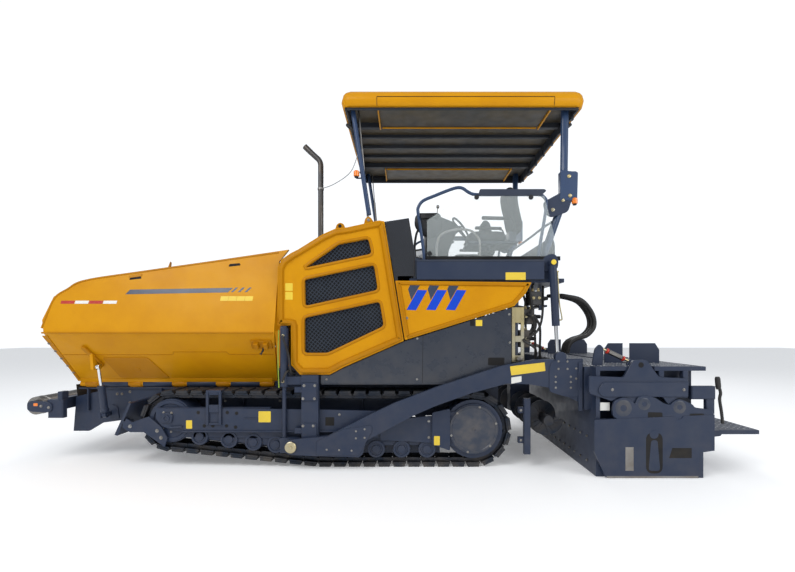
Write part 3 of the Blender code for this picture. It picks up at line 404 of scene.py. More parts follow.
def smoothPath(points, steps=6):
    # a curve through the points: each span blends its four nearest points with cubic weights
    p = np.asarray(points, float)
    p = np.vstack([2 * p[0] - p[1], p, 2 * p[-1] - p[-2]])
    t = np.linspace(0, 1, steps, endpoint=False)[None, :, None]
    a, b, c, d = (p[k:len(p) - 3 + k][:, None] for k in range(4))
    curve = 0.5 * (2 * b + (c - a) * t + (2 * a - 5 * b + 4 * c - d) * t ** 2
        + (3 * b - a - 3 * c + d) * t ** 3)
    return np.vstack([curve.reshape(-1, 3), p[-2]])


def tube(path, radius, sides=12):
    # circles square to the path; each one's up direction is the last one's, turned the shortest way
    path = np.asarray(path, float)
    ahead = np.gradient(path, axis=0)
    ahead /= np.linalg.norm(ahead, axis=1)[:, None]
    up = np.empty_like(ahead)
    up[0] = np.cross(ahead[0], np.eye(3)[np.argmin(np.abs(ahead[0]))])
    for k in range(1, len(path)):
        up[k] = up[k - 1] - ahead[k] * np.dot(up[k - 1], ahead[k])
    up /= np.linalg.norm(up, axis=1)[:, None]
    side = np.cross(ahead, up)
    turn = np.linspace(0, 2 * np.pi, sides, endpoint=False)
    radius = np.broadcast_to(np.asarray(radius, float), len(path))[:, None, None]
    ring = up[:, None] * np.cos(turn)[None, :, None] + side[:, None] * np.sin(turn)[None, :, None]
    return loft(path[:, None] + ring * radius)


def lathe(profile, start, toward, sides=24):
    # a profile of (distance along, radius) turned about the line from start toward a direction
    along, radius = np.asarray(profile, float).T
    axis = np.asarray(toward, float) / np.linalg.norm(toward)
    up = np.cross(axis, np.eye(3)[np.argmin(np.abs(axis))])
    up /= np.linalg.norm(up)
    side = np.cross(axis, up)
    turn = np.linspace(0, 2 * np.pi, sides, endpoint=False)
    ring = up[None, :] * np.cos(turn)[:, None] + side[None, :] * np.sin(turn)[:, None]
    return loft(np.asarray(start) + axis * along[:, None, None] + ring[None] * radius[:, None, None])


def gather(*shapes):
    # several shapes as one, with their face numbers carried on
    points, faces, count = [], [], 0
    for more, loops in shapes:
        points.append(more)
        faces += [[k + count for k in loop] for loop in loops]
        count += len(more)
    return np.vstack(points), faces


def copies(shape, places):
    # the shape repeated at each place
    points, faces = shape
    places = np.asarray(places, float)
    shift = np.arange(len(places)) * len(points)
    more = [[k + s for k in loop] for s in shift.tolist() for loop in faces]
    return (points[None] + places[:, None]).reshape(-1, 3), more


def moved(shape, matrix, place=(0, 0, 0)):
    # each point times the matrix, then moved; a mirroring matrix turns the faces round
    points, faces = shape
    matrix = np.asarray(matrix, float)
    if np.linalg.det(matrix) < 0:
        faces = [loop[::-1] for loop in faces]
    return points @ matrix.T + np.asarray(place, float), faces


def turnAbout(axis, degrees):
    a = math.radians(degrees)
    x, y, z = axis
    cross = np.array([[0, -z, y], [z, 0, -x], [-y, x, 0]])
    return np.eye(3) + math.sin(a) * cross + (1 - math.cos(a)) * cross @ cross


def makePiece(name, shape, finish, body, s=1, angle=32.0):
    # s is 1 for the right side and -1 for its mirror image on the left
    points, faces = moved(shape, np.diag([1, s, 1])) if s < 0 else shape
    mesh = bpy.data.meshes.new(name)
    mesh.from_pydata(points.tolist(), [], faces)
    mesh.update()
    mesh.shade_smooth()
    mesh.set_sharp_from_angle(angle=math.radians(angle))
    mesh.materials.append(materials[finish])
    piece = bpy.data.objects.new(name, mesh)
    bpy.context.scene.collection.objects.link(piece)
    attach(piece, body)
    return piece


def bolt(size, direction=(0, 1, 0)):
    # a six-sided head with a chamfered top on a round washer, standing on the origin
    washer = lathe([(-0.001, size * 0.95), (size * 0.14, size * 0.95), (size * 0.18, size * 0.88)],
        (0, 0, 0), direction, 12)
    head = lathe([(size * 0.1, size * 0.68), (size * 0.62, size * 0.68), (size * 0.72, size * 0.55)],
        (0, 0, 0), direction, 6)
    return gather(washer, head)


def bolts(name, places, size, body, s, finish="wornSteel", direction=(0, 1, 0)):
    return makePiece(name, copies(bolt(size, direction), places), finish, body, s)


def dress(node, body, finish, width=0.004, segments=2):
    # the frame's own shape with its flat faces joined up and its edges rounded
    source = frame["nodes"][node]
    mesh = source.data.copy()
    shape = bmesh.new()
    shape.from_mesh(mesh)
    bmesh.ops.remove_doubles(shape, verts=shape.verts, dist=0.00005)
    bmesh.ops.dissolve_limit(shape, angle_limit=math.radians(1.5), verts=shape.verts, edges=shape.edges)
    shape.to_mesh(mesh)
    shape.free()
    mesh.shade_smooth()
    mesh.set_sharp_from_angle(angle=math.radians(32))
    mesh.materials.clear()
    mesh.materials.append(materials[finish])
    piece = bpy.data.objects.new(node + ".body", mesh)
    bpy.context.scene.collection.objects.link(piece)
    rounding = piece.modifiers.new("rounding", "BEVEL")
    rounding.width = width
    rounding.segments = segments
    rounding.limit_method = "ANGLE"
    rounding.angle_limit = math.radians(38)
    rounding.use_clamp_overlap = True
    rounding.harden_normals = True
    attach(piece, body)
    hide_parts(node)
    return piece


# the frame's own shapes
bodyOf = {node: body for body, nodes in frame["record"]["behaviour"]["bodies"].items() for node in nodes}
finishOfSlot = {slot: name for name, slot in slotOf.items()}
edges = {"default": 0.004, "side_cover": 0.010, "rear_side_panel": 0.010, "hopper_wing": 0.006,
    "tow_arm": 0.006, "side_glass": 0.0015, "side_grille": 0.001, "roof": 0.010, "auger": 0.002}
remade = ("seat_left", "seat_right", "track_left", "track_right", "guard_rail_left", "guard_rail_right",
    "exhaust_pipe", "control_console")
otherFinish = {"guard_rail": "blackPlastic", "tow_point": "frameBlue", "lower_side_panel": "hoodSlate",
    "hood": "hoodSlate", "auger": "chainSteel", "side_grille": "deepBlack", "lift_cylinder": "frameBlue",
    "wing_cylinder": "frameBlue"}
for part in frame["record"]["subparts"]:
    node = part["node"]
    kind = node.rsplit("_", 1)[0] if node.endswith(("_left", "_right")) else node
    if node not in remade:
        finish = otherFinish.get(kind, finishOfSlot.get(part["material_slot"], "blackPlastic"))
        dress(node, bodyOf[node], finish, edges.get(kind, edges["default"]))
print("frame shapes dressed")


# tracks
track = {"shoes": 54, "wheels": ((0.975, 0.385, 0.385), (-2.125, 0.47, 0.31), (-0.60, 0.15, 0.15)),
    "middle": 1.0, "half": 0.15}


def trackLine(depth, count):
    # the taut line round three wheels: an arc on each, joined by their common tangents, cut into
    # equal steps
    leaves, points = [], []
    wheels = [(x, z, r - depth) for x, z, r in track["wheels"]]
    for (x0, z0, r0), (x1, z1, r1) in zip(wheels, wheels[1:] + wheels[:1]):
        leaves.append(math.atan2(z1 - z0, x1 - x0) - math.acos((r0 - r1) / math.hypot(x1 - x0, z1 - z0)))
    for k, (x, z, r) in enumerate(wheels):
        sweep = (leaves[k] - leaves[k - 1]) % (2 * math.pi)
        turn = leaves[k - 1] + np.linspace(0, sweep, 40)
        points.append(np.stack([x + r * np.cos(turn), z + r * np.sin(turn)], axis=1))
    line = np.vstack(points + [points[0][:1]])
    walked = np.concatenate([[0], np.cumsum(np.linalg.norm(np.diff(line, axis=0), axis=1))])
    wanted = np.linspace(0, walked[-1], count, endpoint=False)
    return np.stack([np.interp(wanted, walked, line[:, 0]), np.interp(wanted, walked, line[:, 1])],
        axis=1), walked[-1]


def alongTrack(shape, depth):
    # the shape, drawn flat with x along the track and z outwards, is set at every shoe and turned to
    # the
    # line there
    line = trackLine(depth, track["shoes"] * 8)[0]
    here = line[::8]
    ahead = np.roll(line, -2, axis=0)[::8] - np.roll(line, 2, axis=0)[::8]
    ahead /= np.linalg.norm(ahead, axis=1)[:, None]
    outwards = np.stack([ahead[:, 1], -ahead[:, 0]], axis=1)
    points, faces = shape
    flat = here[:, None] + points[None, :, 0, None] * ahead[:, None]
    flat = flat + points[None, :, 2, None] * outwards[:, None]
    across = np.broadcast_to(points[None, :, 1], flat.shape[:2])
    shift = (np.arange(track["shoes"]) * len(points)).tolist()
    loops = [[k + m for k in loop] for m in shift for loop in faces]
    return np.stack([flat[..., 0], across, flat[..., 1]], axis=-1).reshape(-1, 3), loops


def makeTrack(side, s):
    pitch = trackLine(0.03, 8)[1] / track["shoes"]
    low, high = track["middle"] - track["half"], track["middle"] + track["half"]
    half = pitch / 2
    pad = plate([(-half * 0.80, -0.002), (half * 0.80, -0.002), (half * 0.74, 0.030),
        (-half * 0.74, 0.030)], low, high, 0.006)
    pads = makePiece("track_pads_" + side, alongTrack(pad, 0.030), "trackRubber", "tractor", s)
    shoe = plate([(-half * 0.93, -0.016), (half * 0.80, -0.016), (half * 0.93, -0.008),
        (half * 0.93, 0.0), (-half * 0.93, 0.0)], low + 0.004, high - 0.004, 0.003)
    link = np.array([(-0.62, 0.0), (0.05, 0.0), (0.12, 0.006), (0.60, 0.006), (0.68, -0.004),
        (0.68, -0.022), (0.60, -0.034), (0.1, -0.037), (-0.55, -0.037), (-0.66, -0.028), (-0.68, -0.008)])
    link = link * (pitch * 0.78, 1.0) - (0, 0.017)
    rails = [plate(link, y, y + 0.022, 0.003) for y in (0.905, 1.073)]
    sprung = [plate(circle((pitch * 0.45, -0.035), 0.013, 10), y, y + 0.034, 0.002) for y in (0.899, 1.067)]
    makePiece("track_chain_" + side, gather(*[alongTrack(x, 0.030) for x in [shoe] + rails + sprung]),
        "chainSteel", "tractor", s)
    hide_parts("track_" + side)


# wheels: caps and hubs on their outer faces, each a turned profile of (distance out, radius)
hubs = {
    "roller": [(-0.004, 0.088), (0.010, 0.086), (0.012, 0.066), (0.004, 0.062), (0.004, 0.044),
        (0.016, 0.040), (0.018, 0.012)],
    "idler": [(-0.004, 0.212), (0.012, 0.208), (0.014, 0.178), (0.002, 0.170), (0.002, 0.088),
        (0.018, 0.082), (0.020, 0.050), (0.026, 0.046), (0.028, 0.012)],
    "drive": [(-0.002, 0.250), (0.010, 0.246), (0.013, 0.226), (0.006, 0.218), (0.006, 0.018),
        (0.001, 0.014)],
}
rollerX = (-1.83, -1.53, -1.28, -1.05, -0.02, 0.24, 0.50)


def makeWheels(side, s):
    (driveX, driveZ, _), (idlerX, idlerZ, idlerRadius), (bendX, _, _) = track["wheels"]
    # the rollers ahead of the bend climb with the track's sloping run
    rise = (idlerZ - idlerRadius) / (idlerX - bendX)
    shapes = [lathe(hubs["roller"], (x, 1.130, max(0.0, (x - bendX) * rise) + 0.1793), (0, 1, 0), 28)
        for x in rollerX]
    shapes.append(lathe(hubs["idler"], (idlerX, 1.130, idlerZ), (0, 1, 0), 40))
    makePiece("track_wheels_" + side, gather(*shapes), "frameBlue", "tractor", s)
    makePiece("drive_cover_" + side, lathe(hubs["drive"], (driveX, 1.155, driveZ), (0, 1, 0), 56),
        "slatePaint", "tractor", s)
    turn = np.radians(np.arange(0, 360, 60) + 15)
    ring = np.stack([driveX + 0.236 * np.cos(turn), np.full(6, 1.167),
        driveZ + 0.236 * np.sin(turn)], axis=1)
    bolts("drive_bolts_" + side, ring, 0.013, "tractor", s)
    spokes = np.radians(np.arange(0, 360, 45))
    hubBolts = np.stack([idlerX + 0.115 * np.cos(spokes), np.full(8, 1.132),
        idlerZ + 0.115 * np.sin(spokes)], axis=1)
    bolts("idler_bolts_" + side, hubBolts, 0.012, "tractor", s)


frameDetail = {
    "face": 1.158,
    "holes": [(-1.828, 0.560), (-1.532, 0.560), (-1.438, 0.552), (-1.766, 0.424), (-1.679, 0.424),
        (-1.540, 0.424), (-1.448, 0.412)],
    "bolts": [(-0.392, 0.539), (0.518, 0.468), (0.518, 0.302), (-2.18, 0.560), (-2.10, 0.556)],
    "labels": [((-1.215, 0.461), (-1.090, 0.573)), ((-1.952, 0.396), (-1.890, 0.481)),
        ((0.570, 0.228), (0.629, 0.321))],
}


def makeTrackFrame(side, s):
    # skirts, sockets and brackets on the outer face of the beam inside the track
    y = frameDetail["face"]
    face = y + 0.014
    outline = [(-2.261, 0.609), (-0.60, 0.590), (0.03, 0.575), (0.03, 0.37), (-0.55, 0.355),
        (-2.06, 0.372), (-2.20, 0.42), (-2.261, 0.50)]
    skirt = plate(rounded(outline, 0.012, 2), y, face)
    flange = box((-2.24, y - 0.05, 0.600), (-1.10, y + 0.018, 0.609))
    lip = box((-2.00, y, 0.362), (0.03, y + 0.034, 0.374))
    step = plate([(-1.36, 0.500), (-1.22, 0.500), (-1.22, 0.507), (-1.36, 0.507)], face - 0.002,
        face + 0.008, 0.001)
    lower = plate([(-2.02, 0.30), (-1.96, 0.38), (0.50, 0.38), (0.53, 0.30), (-0.9, 0.285)], 1.120, 1.134)
    # a plate between the rollers' flanges keeps stones off the chain
    rollerGuard = plate([(-1.93, 0.36), (-1.93, 0.262), (-0.60, 0.112), (0.64, 0.112), (0.64, 0.36)],
        1.020, 1.030)
    # the bracket that guides the returning shoes, open like a ladder
    bracket = [box((x, face - 0.002, 0.435), (x + 0.026, face + 0.024, 0.785)) for x in (-1.742, -1.613)]
    bracket += [box((-1.716, face - 0.002, z), (-1.613, face + 0.016, z + h))
        for z, h in ((0.740, 0.045), (0.560, 0.080), (0.435, 0.022))]
    bracket.append(box((-1.742, face - 0.10, 0.760), (-1.587, face + 0.02, 0.790)))
    # the tensioner's bearing, with its block and set screw
    bearing = plate(rounded([(-2.205, 0.455), (-2.095, 0.455), (-2.080, 0.535), (-2.125, 0.560),
        (-2.19, 0.555)], 0.02, 3), face - 0.002, face + 0.016)
    boss = lathe([(0.010, 0.036), (0.026, 0.034), (0.028, 0.022), (0.020, 0.018), (0.020, 0.004)],
        (-2.146, face, 0.503), (0, 1, 0), 24)
    screw = lathe([(0, 0.011), (0.12, 0.011), (0.124, 0.007)], (-2.11, face + 0.014, 0.410),
        (1, 0, 0.05), 12)
    guard = plate(rounded([(0.02, 0.275), (0.554, 0.245), (0.60, 0.30), (0.60, 0.50), (0.554, 0.524),
        (0.02, 0.47)], 0.02, 2), 1.132, 1.152)
    shield = plate(rounded([(0.55, 0.56), (0.735, 0.60), (0.735, 0.17), (0.55, 0.235)], 0.02, 2), 1.150,
        1.174)
    parts = [skirt, flange, lip, step, lower, rollerGuard, *bracket, bearing, boss, screw, guard, shield]
    makePiece("track_skirt_" + side, gather(*parts), "frameBlue", "tractor", s)
    # dark discs and a dark square laid on the face stand for holes: painted shade of their insides
    dark = [plate(circle(c, 0.018, 14), face - 0.001, face + 0.0015, 0.001) for c in frameDetail["holes"]]
    dark.append(plate([(-0.535, 0.427), (-0.445, 0.427), (-0.445, 0.513), (-0.535, 0.513)], face - 0.001,
        face + 0.0015, 0.001))
    makePiece("track_frame_holes_" + side, gather(*dark), "deepBlack", "tractor", s)
    bolts("track_frame_bolts_" + side, [(x, face if x < 0.1 else 1.152, z)
        for x, z in frameDetail["bolts"]], 0.014, "tractor", s)
    heights = (face - 0.0002, face - 0.0002, 1.1738)
    labels = [plate(rounded([(x0, z0), (x1, z0), (x1, z1), (x0, z1)], 0.006, 2), h, h + 0.0016, 0.0005)
        for ((x0, z0), (x1, z1)), h in zip(frameDetail["labels"], heights)]
    makePiece("track_labels_" + side, gather(*labels), "labelYellow", "tractor", s)
    bolts("scraper_bolts_" + side, [(-2.245, 1.175, 0.375), (-2.205, 1.175, 0.305), (-2.52, 1.175, 0.42)],
        0.020, "tractor", s)


for side, s in sides:
    makeTrack(side, s)
    makeWheels(side, s)
    makeTrackFrame(side, s)
print("tracks made")


# hopper wings
# a panel's own directions: x along the machine, a up the panel, b out of it
wing = {"hinge": (0.82, 0.84), "crease": (1.27, 1.37), "lip": (1.05, 2.24)}


def onPanel(shape, foot, head):
    (y0, z0), (y1, z1) = foot, head
    size = math.hypot(y1 - y0, z1 - z0)
    up = ((y1 - y0) / size, (z1 - z0) / size)
    # the shape's y is b, and its z is a
    matrix = [(1, 0, 0), (0, up[1], up[0]), (0, -up[0], up[1])]
    return moved(shape, matrix, (0, y0, z0))


def upper(shape):
    return onPanel(shape, wing["crease"], wing["lip"])


def lower(shape):
    return onPanel(shape, wing["hinge"], wing["crease"])


def makeWing(side, s):
    body = "wing_" + side
    # a turned-over lip along the sloping top edge and round the nose
    edge = smoothPath([(-3.352, 0, 0.05), (-3.335, 0, 0.14), (-3.285, 0, 0.36), (-3.17, 0, 0.46),
        (-3.0, 0, 0.555), (-2.4, 0, 0.655), (-1.04, 0, 0.865)], 8)
    lip = upper(tube(edge + (0, -0.006, 0), 0.013, 10))
    bead = tube([(-3.34, 1.272, 1.372), (-1.04, 1.272, 1.372)], 0.009, 10)
    seam = lower(plate([(-3.27, 0.395), (-2.131, 0.395), (-2.113, 0.435), (-1.573, 0.435), (-1.55, 0.40),
        (-1.09, 0.40), (-1.09, 0.408), (-1.545, 0.408), (-1.568, 0.443), (-2.118, 0.443), (-2.136, 0.403),
        (-3.27, 0.403)], -0.002, 0.004, 0.001))
    pressed = [(-2.811, 0.055), (-2.275, 0.055), (-2.411, 0.365), (-2.884, 0.365)]
    emboss = lower(plate(rounded(pressed, 0.03, 3), -0.002, 0.010, 0.006))
    knob = lower(lathe([(0.006, 0.034), (0.014, 0.030), (0.016, 0.010)], (-2.578, 0, 0.19), (0, 1, 0), 20))
    strap = lower(plate([(-3.355, 0.66), (-3.30, 0.66), (-3.262, 0.03), (-3.285, 0.03)], -0.002, 0.006,
        0.002))
    latchPlate = lower(plate(rounded([(-1.288, 0.49), (-1.076, 0.49), (-1.076, 0.605), (-1.288, 0.605)],
        0.012, 2), -0.002, 0.016))
    latchEyes = [lower(box((x, 0.010, 0.515), (x + 0.045, 0.050, 0.585))) for x in (-1.250, -1.155)]
    keep = upper(plate([(-2.559, 0.58), (-2.43, 0.60), (-2.43, 0.625), (-2.559, 0.605)], -0.002, 0.006,
        0.001))
    parts = [lip, bead, seam, emboss, knob, strap, latchPlate, keep] + latchEyes
    # the lifting rod's arm down to the cylinder's eye
    rodArm = [(-3.03, 0.52), (-2.985, 0.53), (-2.90, 0.25), (-2.945, 0.23)]
    parts.append(lower(plate(rounded(rodArm, 0.02, 3), -0.004, 0.030, 0.006)))
    makePiece("wing_trim_" + side, gather(*parts), "machineYellow", body, s)
    pin = tube([(-1.235, 1.14, 1.235), (-1.045, 1.14, 1.235)], 0.011, 10)
    handle = tube(smoothPath([(-1.17, 1.148, 1.235), (-1.17, 1.175, 1.19), (-1.19, 1.185, 1.15)], 4),
        [0.009] * 8 + [0.016], 10)
    makePiece("wing_latch_pin_" + side, pin, "zincYellow", body, s)
    makePiece("wing_latch_handle_" + side, handle, "blackPlastic", body, s)
    strip = [upper(plate([(-3.212 + 0.143 * k, 0.305), (-3.075 + 0.143 * k, 0.305),
        (-3.070 + 0.143 * k, 0.337), (-3.207 + 0.143 * k, 0.337)], 0.0, 0.0016, 0.0005)) for k in range(4)]
    makePiece("reflector_red_" + side, gather(strip[0], strip[2]), "reflectorRed", body, s)
    makePiece("reflector_white_" + side, gather(strip[1], strip[3]), "reflectorWhite", body, s)
    label = [upper(plate([(-1.60 + 0.083 * k, 0.335), (-1.52 + 0.083 * k, 0.335),
        (-1.515 + 0.083 * k, 0.385), (-1.595 + 0.083 * k, 0.385)], 0.0, 0.0016, 0.0005)) for k in range(4)]
    band = upper(plate([(-2.57, 0.405), (-1.53, 0.425), (-1.48, 0.475), (-2.53, 0.455)], 0.0, 0.0012,
        0.0004))
    dashes = [upper(plate([(-1.50 + 0.07 * k, 0.428), (-1.475 + 0.07 * k, 0.428),
        (-1.43 + 0.07 * k, 0.478), (-1.455 + 0.07 * k, 0.478)], 0.0, 0.0012, 0.0004)) for k in range(3)]
    makePiece("wing_label_" + side, gather(*label), "labelYellow", body, s)
    makePiece("wing_band_" + side, gather(band, *dashes), "stripeSlate", body, s)
    # dark slot shapes laid on the panel stand for the slots' openings: painted shade
    slots = [upper(plate(rounded([(x, z), (x + 0.125, z + 0.015), (x + 0.115, z + 0.04),
        (x + 0.01, z + 0.03)], 0.008, 2), 0.0, 0.0014, 0.0004))
        for x, z in ((-2.554, 0.560), (-1.550, 0.705))]
    makePiece("wing_slots_" + side, gather(*slots), "deepBlack", body, s)
    places = np.stack([np.linspace(-3.335, -3.285, 5), np.full(5, 0.006), np.linspace(0.56, 0.14, 5)],
        axis=1)
    makePiece("wing_bolts_" + side, lower(copies(bolt(0.014), places)), "wornSteel", body, s)
    sleeves = [lathe([(0, 0.034), (0.005, 0.037), (0.125, 0.037), (0.13, 0.034)], (x, 0.80, 0.81),
        (1, 0, 0), 16) for x in np.arange(-3.22, -1.3, 0.48)]
    makePiece("wing_knuckles_" + side, gather(*sleeves), "machineYellow", body, s)
    fixed = [lathe([(0, 0.033), (0.005, 0.036), (0.31, 0.036), (0.315, 0.033)], (x, 0.80, 0.81),
        (1, 0, 0), 16) for x in np.arange(-3.07, -1.4, 0.48)]
    makePiece("frame_knuckles_" + side, gather(*fixed), "frameBlue", "tractor", s)
    # stiffeners inside the hopper, seen from above
    ribs = [onPanel(plate([(x, 0.10), (x + 0.02, 0.10), (x + 0.02, 0.78), (x, 0.70)], -0.075, -0.034,
        0.003), wing["crease"], wing["lip"]) for x in (-2.2, -1.5)]
    makePiece("wing_ribs_" + side, gather(*ribs), "machineYellow", body, s)
    # the cylinder's collar and a ring near its foot
    foot = np.array((-2.92, 0.95, 0.50))
    line = np.array((0, 1.06 - 0.95, 1.02 - 0.50)) / math.hypot(0.11, 0.52)
    collar = gather(lathe([(0.300, 0.035), (0.302, 0.0372), (0.317, 0.0372), (0.320, 0.035),
        (0.320, 0.0175)], foot, line, 20), lathe([(0.036, 0.037), (0.040, 0.041), (0.06, 0.041),
        (0.064, 0.037)], foot, line, 20))
    makePiece("wing_cylinder_collar_" + side, collar, "frameBlue", "wing_barrel_" + side, s)


for side, s in sides:
    makeWing(side, s)
print("hopper wings made")


# covers
cover = {
    "outline": [(-1.005, 1.456), (-1.005, 2.030), (-0.962, 2.106), (-0.870, 2.172), (-0.810, 2.205),
        (-0.555, 2.360), (-0.428, 2.416), (-0.312, 2.430), (0.012, 2.498), (0.057, 2.490), (0.252, 1.296),
        (-0.348, 1.035), (-0.488, 0.960), (-0.780, 0.960), (-0.865, 1.050), (-0.869, 1.456)],
    "windows": [
        [(-0.735, 2.03), (-0.393, 2.269), (-0.097, 2.324), (-0.062, 2.172)],
        [(-0.741, 1.91), (-0.039, 2.057), (-0.001, 1.806), (-0.735, 1.643)],
        [(-0.741, 1.522), (0.018, 1.685), (0.060, 1.441), (-0.509, 1.169), (-0.741, 1.169)],
    ],
    "face": 1.20,
}


def strands(outline, angle, pitch, width, low, high):
    # parallel bars across a convex window: each line is cut where it meets the window's sides
    outline = np.asarray(outline, float)
    along = np.array([math.cos(math.radians(angle)), math.sin(math.radians(angle))])
    across = np.array([-along[1], along[0]])
    side = np.roll(outline, -1, axis=0) - outline
    inward = np.stack([-side[:, 1], side[:, 0]], axis=1)
    inward *= np.sign(np.sum(inward * (outline.mean(axis=0) - outline), axis=1))[:, None]
    reach = outline @ across
    offsets = np.arange(reach.min() + pitch / 2, reach.max(), pitch)
    slope = inward @ along
    need = np.sum(inward * outline, axis=1)[None] - offsets[:, None] * (inward @ across)[None]
    start = np.where(slope[None] > 1e-9, need / slope[None], -1e9).max(axis=1)
    end = np.where(slope[None] < -1e-9, need / slope[None], 1e9).min(axis=1)
    keep = end - start > 0.01
    offsets, start, end = offsets[keep], start[keep], end[keep]
    count = len(offsets)
    corners = []
    for u, w in ((start, -width / 2), (end, -width / 2), (end, width / 2), (start, width / 2)):
        corners.append(along[None] * u[:, None] + across[None] * (offsets[:, None] + w))
    flat = np.stack(corners, axis=1)
    points = np.concatenate([np.insert(flat, 1, low, axis=2), np.insert(flat, 1, high, axis=2)], axis=1)
    faces = [[0, 1, 2, 3], [7, 6, 5, 4], [0, 4, 5, 1], [1, 5, 6, 2], [2, 6, 7, 3], [3, 7, 4, 0]]
    _, faces = outward(points[0], faces)
    loops = [[k + 8 * m for k in loop] for m in range(count) for loop in faces]
    return points.reshape(-1, 3), loops


def makeCover(side, s):
    y = cover["face"]
    flange = [rim(rounded(w, 0.035, 3), 0.030, y - 0.006, y + 0.009, 0.008) for w in cover["windows"]]
    outer = rounded(cover["outline"], 0.02, 2)
    # the raised border round the whole cover, sloping down to the window field
    steps = ((0.002, y - 0.008), (0.006, y + 0.016), (0.016, y + 0.022), (0.044, y + 0.022),
        (0.062, y - 0.004))
    rings = [raised(inset(outer, d), h, "xz") for d, h in steps]
    field = loft(rings, closed=True)
    makePiece("cover_border_" + side, gather(field, *flange), "machineYellow", "tractor", s, 50)
    mesh = [strands(w, a, 0.030, 0.0075, y - 0.034 + 0.003 * k, y - 0.031 + 0.003 * k)
        for w in cover["windows"] for k, a in enumerate((52, -38))]
    makePiece("cover_mesh_" + side, gather(*mesh), "grilleMesh", "tractor", s)
    eye = plate(rounded([(-0.44, 2.395), (-0.42, 2.47), (-0.385, 2.492), (-0.345, 2.475),
        (-0.325, 2.415)], 0.02, 3), y - 0.035, y - 0.015)
    foot = plate(rounded([(-0.145, 2.455), (-0.13, 2.53), (-0.095, 2.555), (-0.06, 2.53),
        (-0.045, 2.475)], 0.02, 3), y - 0.035, y - 0.010)
    makePiece("cover_lugs_" + side, gather(eye, foot), "machineYellow", "tractor", s)
    # a dark disc through the solid lug stands for its hole: painted shade
    hole = plate(circle((-0.385, 2.455), 0.018, 16), y - 0.037, y - 0.0135, 0.001)
    makePiece("cover_lug_holes_" + side, hole, "deepBlack", "tractor", s)
    bolts("cover_bolts_" + side, [(0.086, y, 2.087), (0.187, y, 1.507), (0.293, y, 1.52),
        (-0.095, y - 0.010, 2.515)], 0.016, "tractor", s)
    labels = [plate(rounded([(-0.935, z), (-0.860, z), (-0.860, z + 0.078), (-0.935, z + 0.078)], 0.006,
        2), y, y + 0.0016, 0.0005) for z in (1.795, 1.706)]
    makePiece("cover_labels_" + side, gather(*labels), "labelYellow", "tractor", s)


stripes = {
    "dark": [(0.332, 1.869), (0.438, 1.872), (0.338, 1.704), (0.307, 1.811)],
    "blue": [(0.403, 1.805), (0.500, 1.801), (0.386, 1.600), (0.291, 1.604)],
    "step": 0.198,
}


def makeRearPanel(side, s):
    y = cover["face"]
    outline = [(0.190, 1.893), (1.545, 1.876), (1.488, 1.774), (1.378, 1.650), (0.592, 1.404),
        (0.286, 1.310)]
    outer = rounded(outline, 0.02, 2)
    steps = ((0.003, y - 0.006), (0.006, y + 0.010), (0.014, y + 0.014), (0.030, y + 0.014),
        (0.042, y - 0.003))
    border = loft([raised(inset(outer, d), h, "xz") for d, h in steps], closed=True)
    makePiece("rear_panel_border_" + side, border, "machineYellow", "tractor", s, 50)
    for colour, finish in (("dark", "stripeSlate"), ("blue", "stripeBlue")):
        marks = [plate(np.array(stripes[colour]) + (stripes["step"] * k, 0), y, y + 0.0016, 0.0005)
            for k in range(3)]
        makePiece("stripes_" + colour + "_" + side, gather(*marks), finish, "tractor", s)
    # the lower panel's joint, vent and peep hole, its tag, bolts and hem
    face = y - 0.010
    seam = plate([(0.449, 0.855), (0.453, 0.855), (0.460, 1.346), (0.456, 1.346)], face, face + 0.001,
        0.0003)
    # the vent and the peep hole are dark patches standing for openings: painted shade; the seam is a dark
    # joint
    vent = plate(rounded([(1.117, 1.042), (1.282, 1.042), (1.282, 1.120), (1.117, 1.120)], 0.012, 2),
        face, face + 0.0016, 0.0005)
    peep = plate([(0.935, 1.440), (0.982, 1.440), (0.982, 1.507), (0.935, 1.507)], face, face + 0.0016,
        0.0005)
    makePiece("panel_gaps_" + side, gather(seam, vent, peep), "deepBlack", "tractor", s)
    tag = plate([(0.992, 1.440), (1.058, 1.440), (1.058, 1.501), (0.992, 1.501)], face, face + 0.0016,
        0.0005)
    makePiece("panel_tag_" + side, tag, "labelYellow", "tractor", s)
    bolts("panel_bolts_" + side, [(0.396, face, 0.90), (0.40, face, 1.313), (1.33, face, 1.559),
        (1.336, face, 1.272), (-0.52, face, 0.90)], 0.012, "tractor", s)
    hem = box((-0.57, 1.160, 0.846), (1.35, face + 0.006, 0.862))
    makePiece("panel_hem_" + side, hem, "hoodSlate", "tractor", s)


def makeHood():
    # the bent end plates, the cooler's grille on the hood's top, its handles and bolts
    ends = [plate(rounded([(0.075, 2.495), (0.31, 2.54), (0.372, 2.14), (0.372, 1.95), (0.20, 1.95),
        (0.262, 1.32)], 0.012, 2), s * 1.152, s * 1.1595, 0.002) for s in (-1, 1)]
    makePiece("hood_ends", gather(*ends), "hoodGloss", "tractor")
    slats = copies(box((-0.006, -0.62, -0.004), (0.006, 0.62, 0.006)),
        [(-0.50 + 0.04 * k, 0, 2.378 + 0.0115 * k) for k in range(20)])
    makePiece("hood_louvres", slats, "frameBlue", "tractor")
    handles = [tube(smoothPath([(0.1, y, 2.512), (0.1, y, 2.56), (0.24, y, 2.585), (0.24, y, 2.537)], 5),
        0.009, 10) for y in (-0.8, 0.8)]
    makePiece("hood_handles", gather(*handles), "blackPlastic", "tractor")
    bolts("hood_bolts", [(x, y, 2.497 + (x - 0.02) * 0.152 + 0.004) for x in (0.05, 0.28)
        for y in (-1.0, -0.5, 0.0, 0.5, 1.0)], 0.014, "tractor", 1, direction=(0, 0, 1))


for side, s in sides:
    makeCover(side, s)
    makeRearPanel(side, s)
makeHood()
print("covers made")


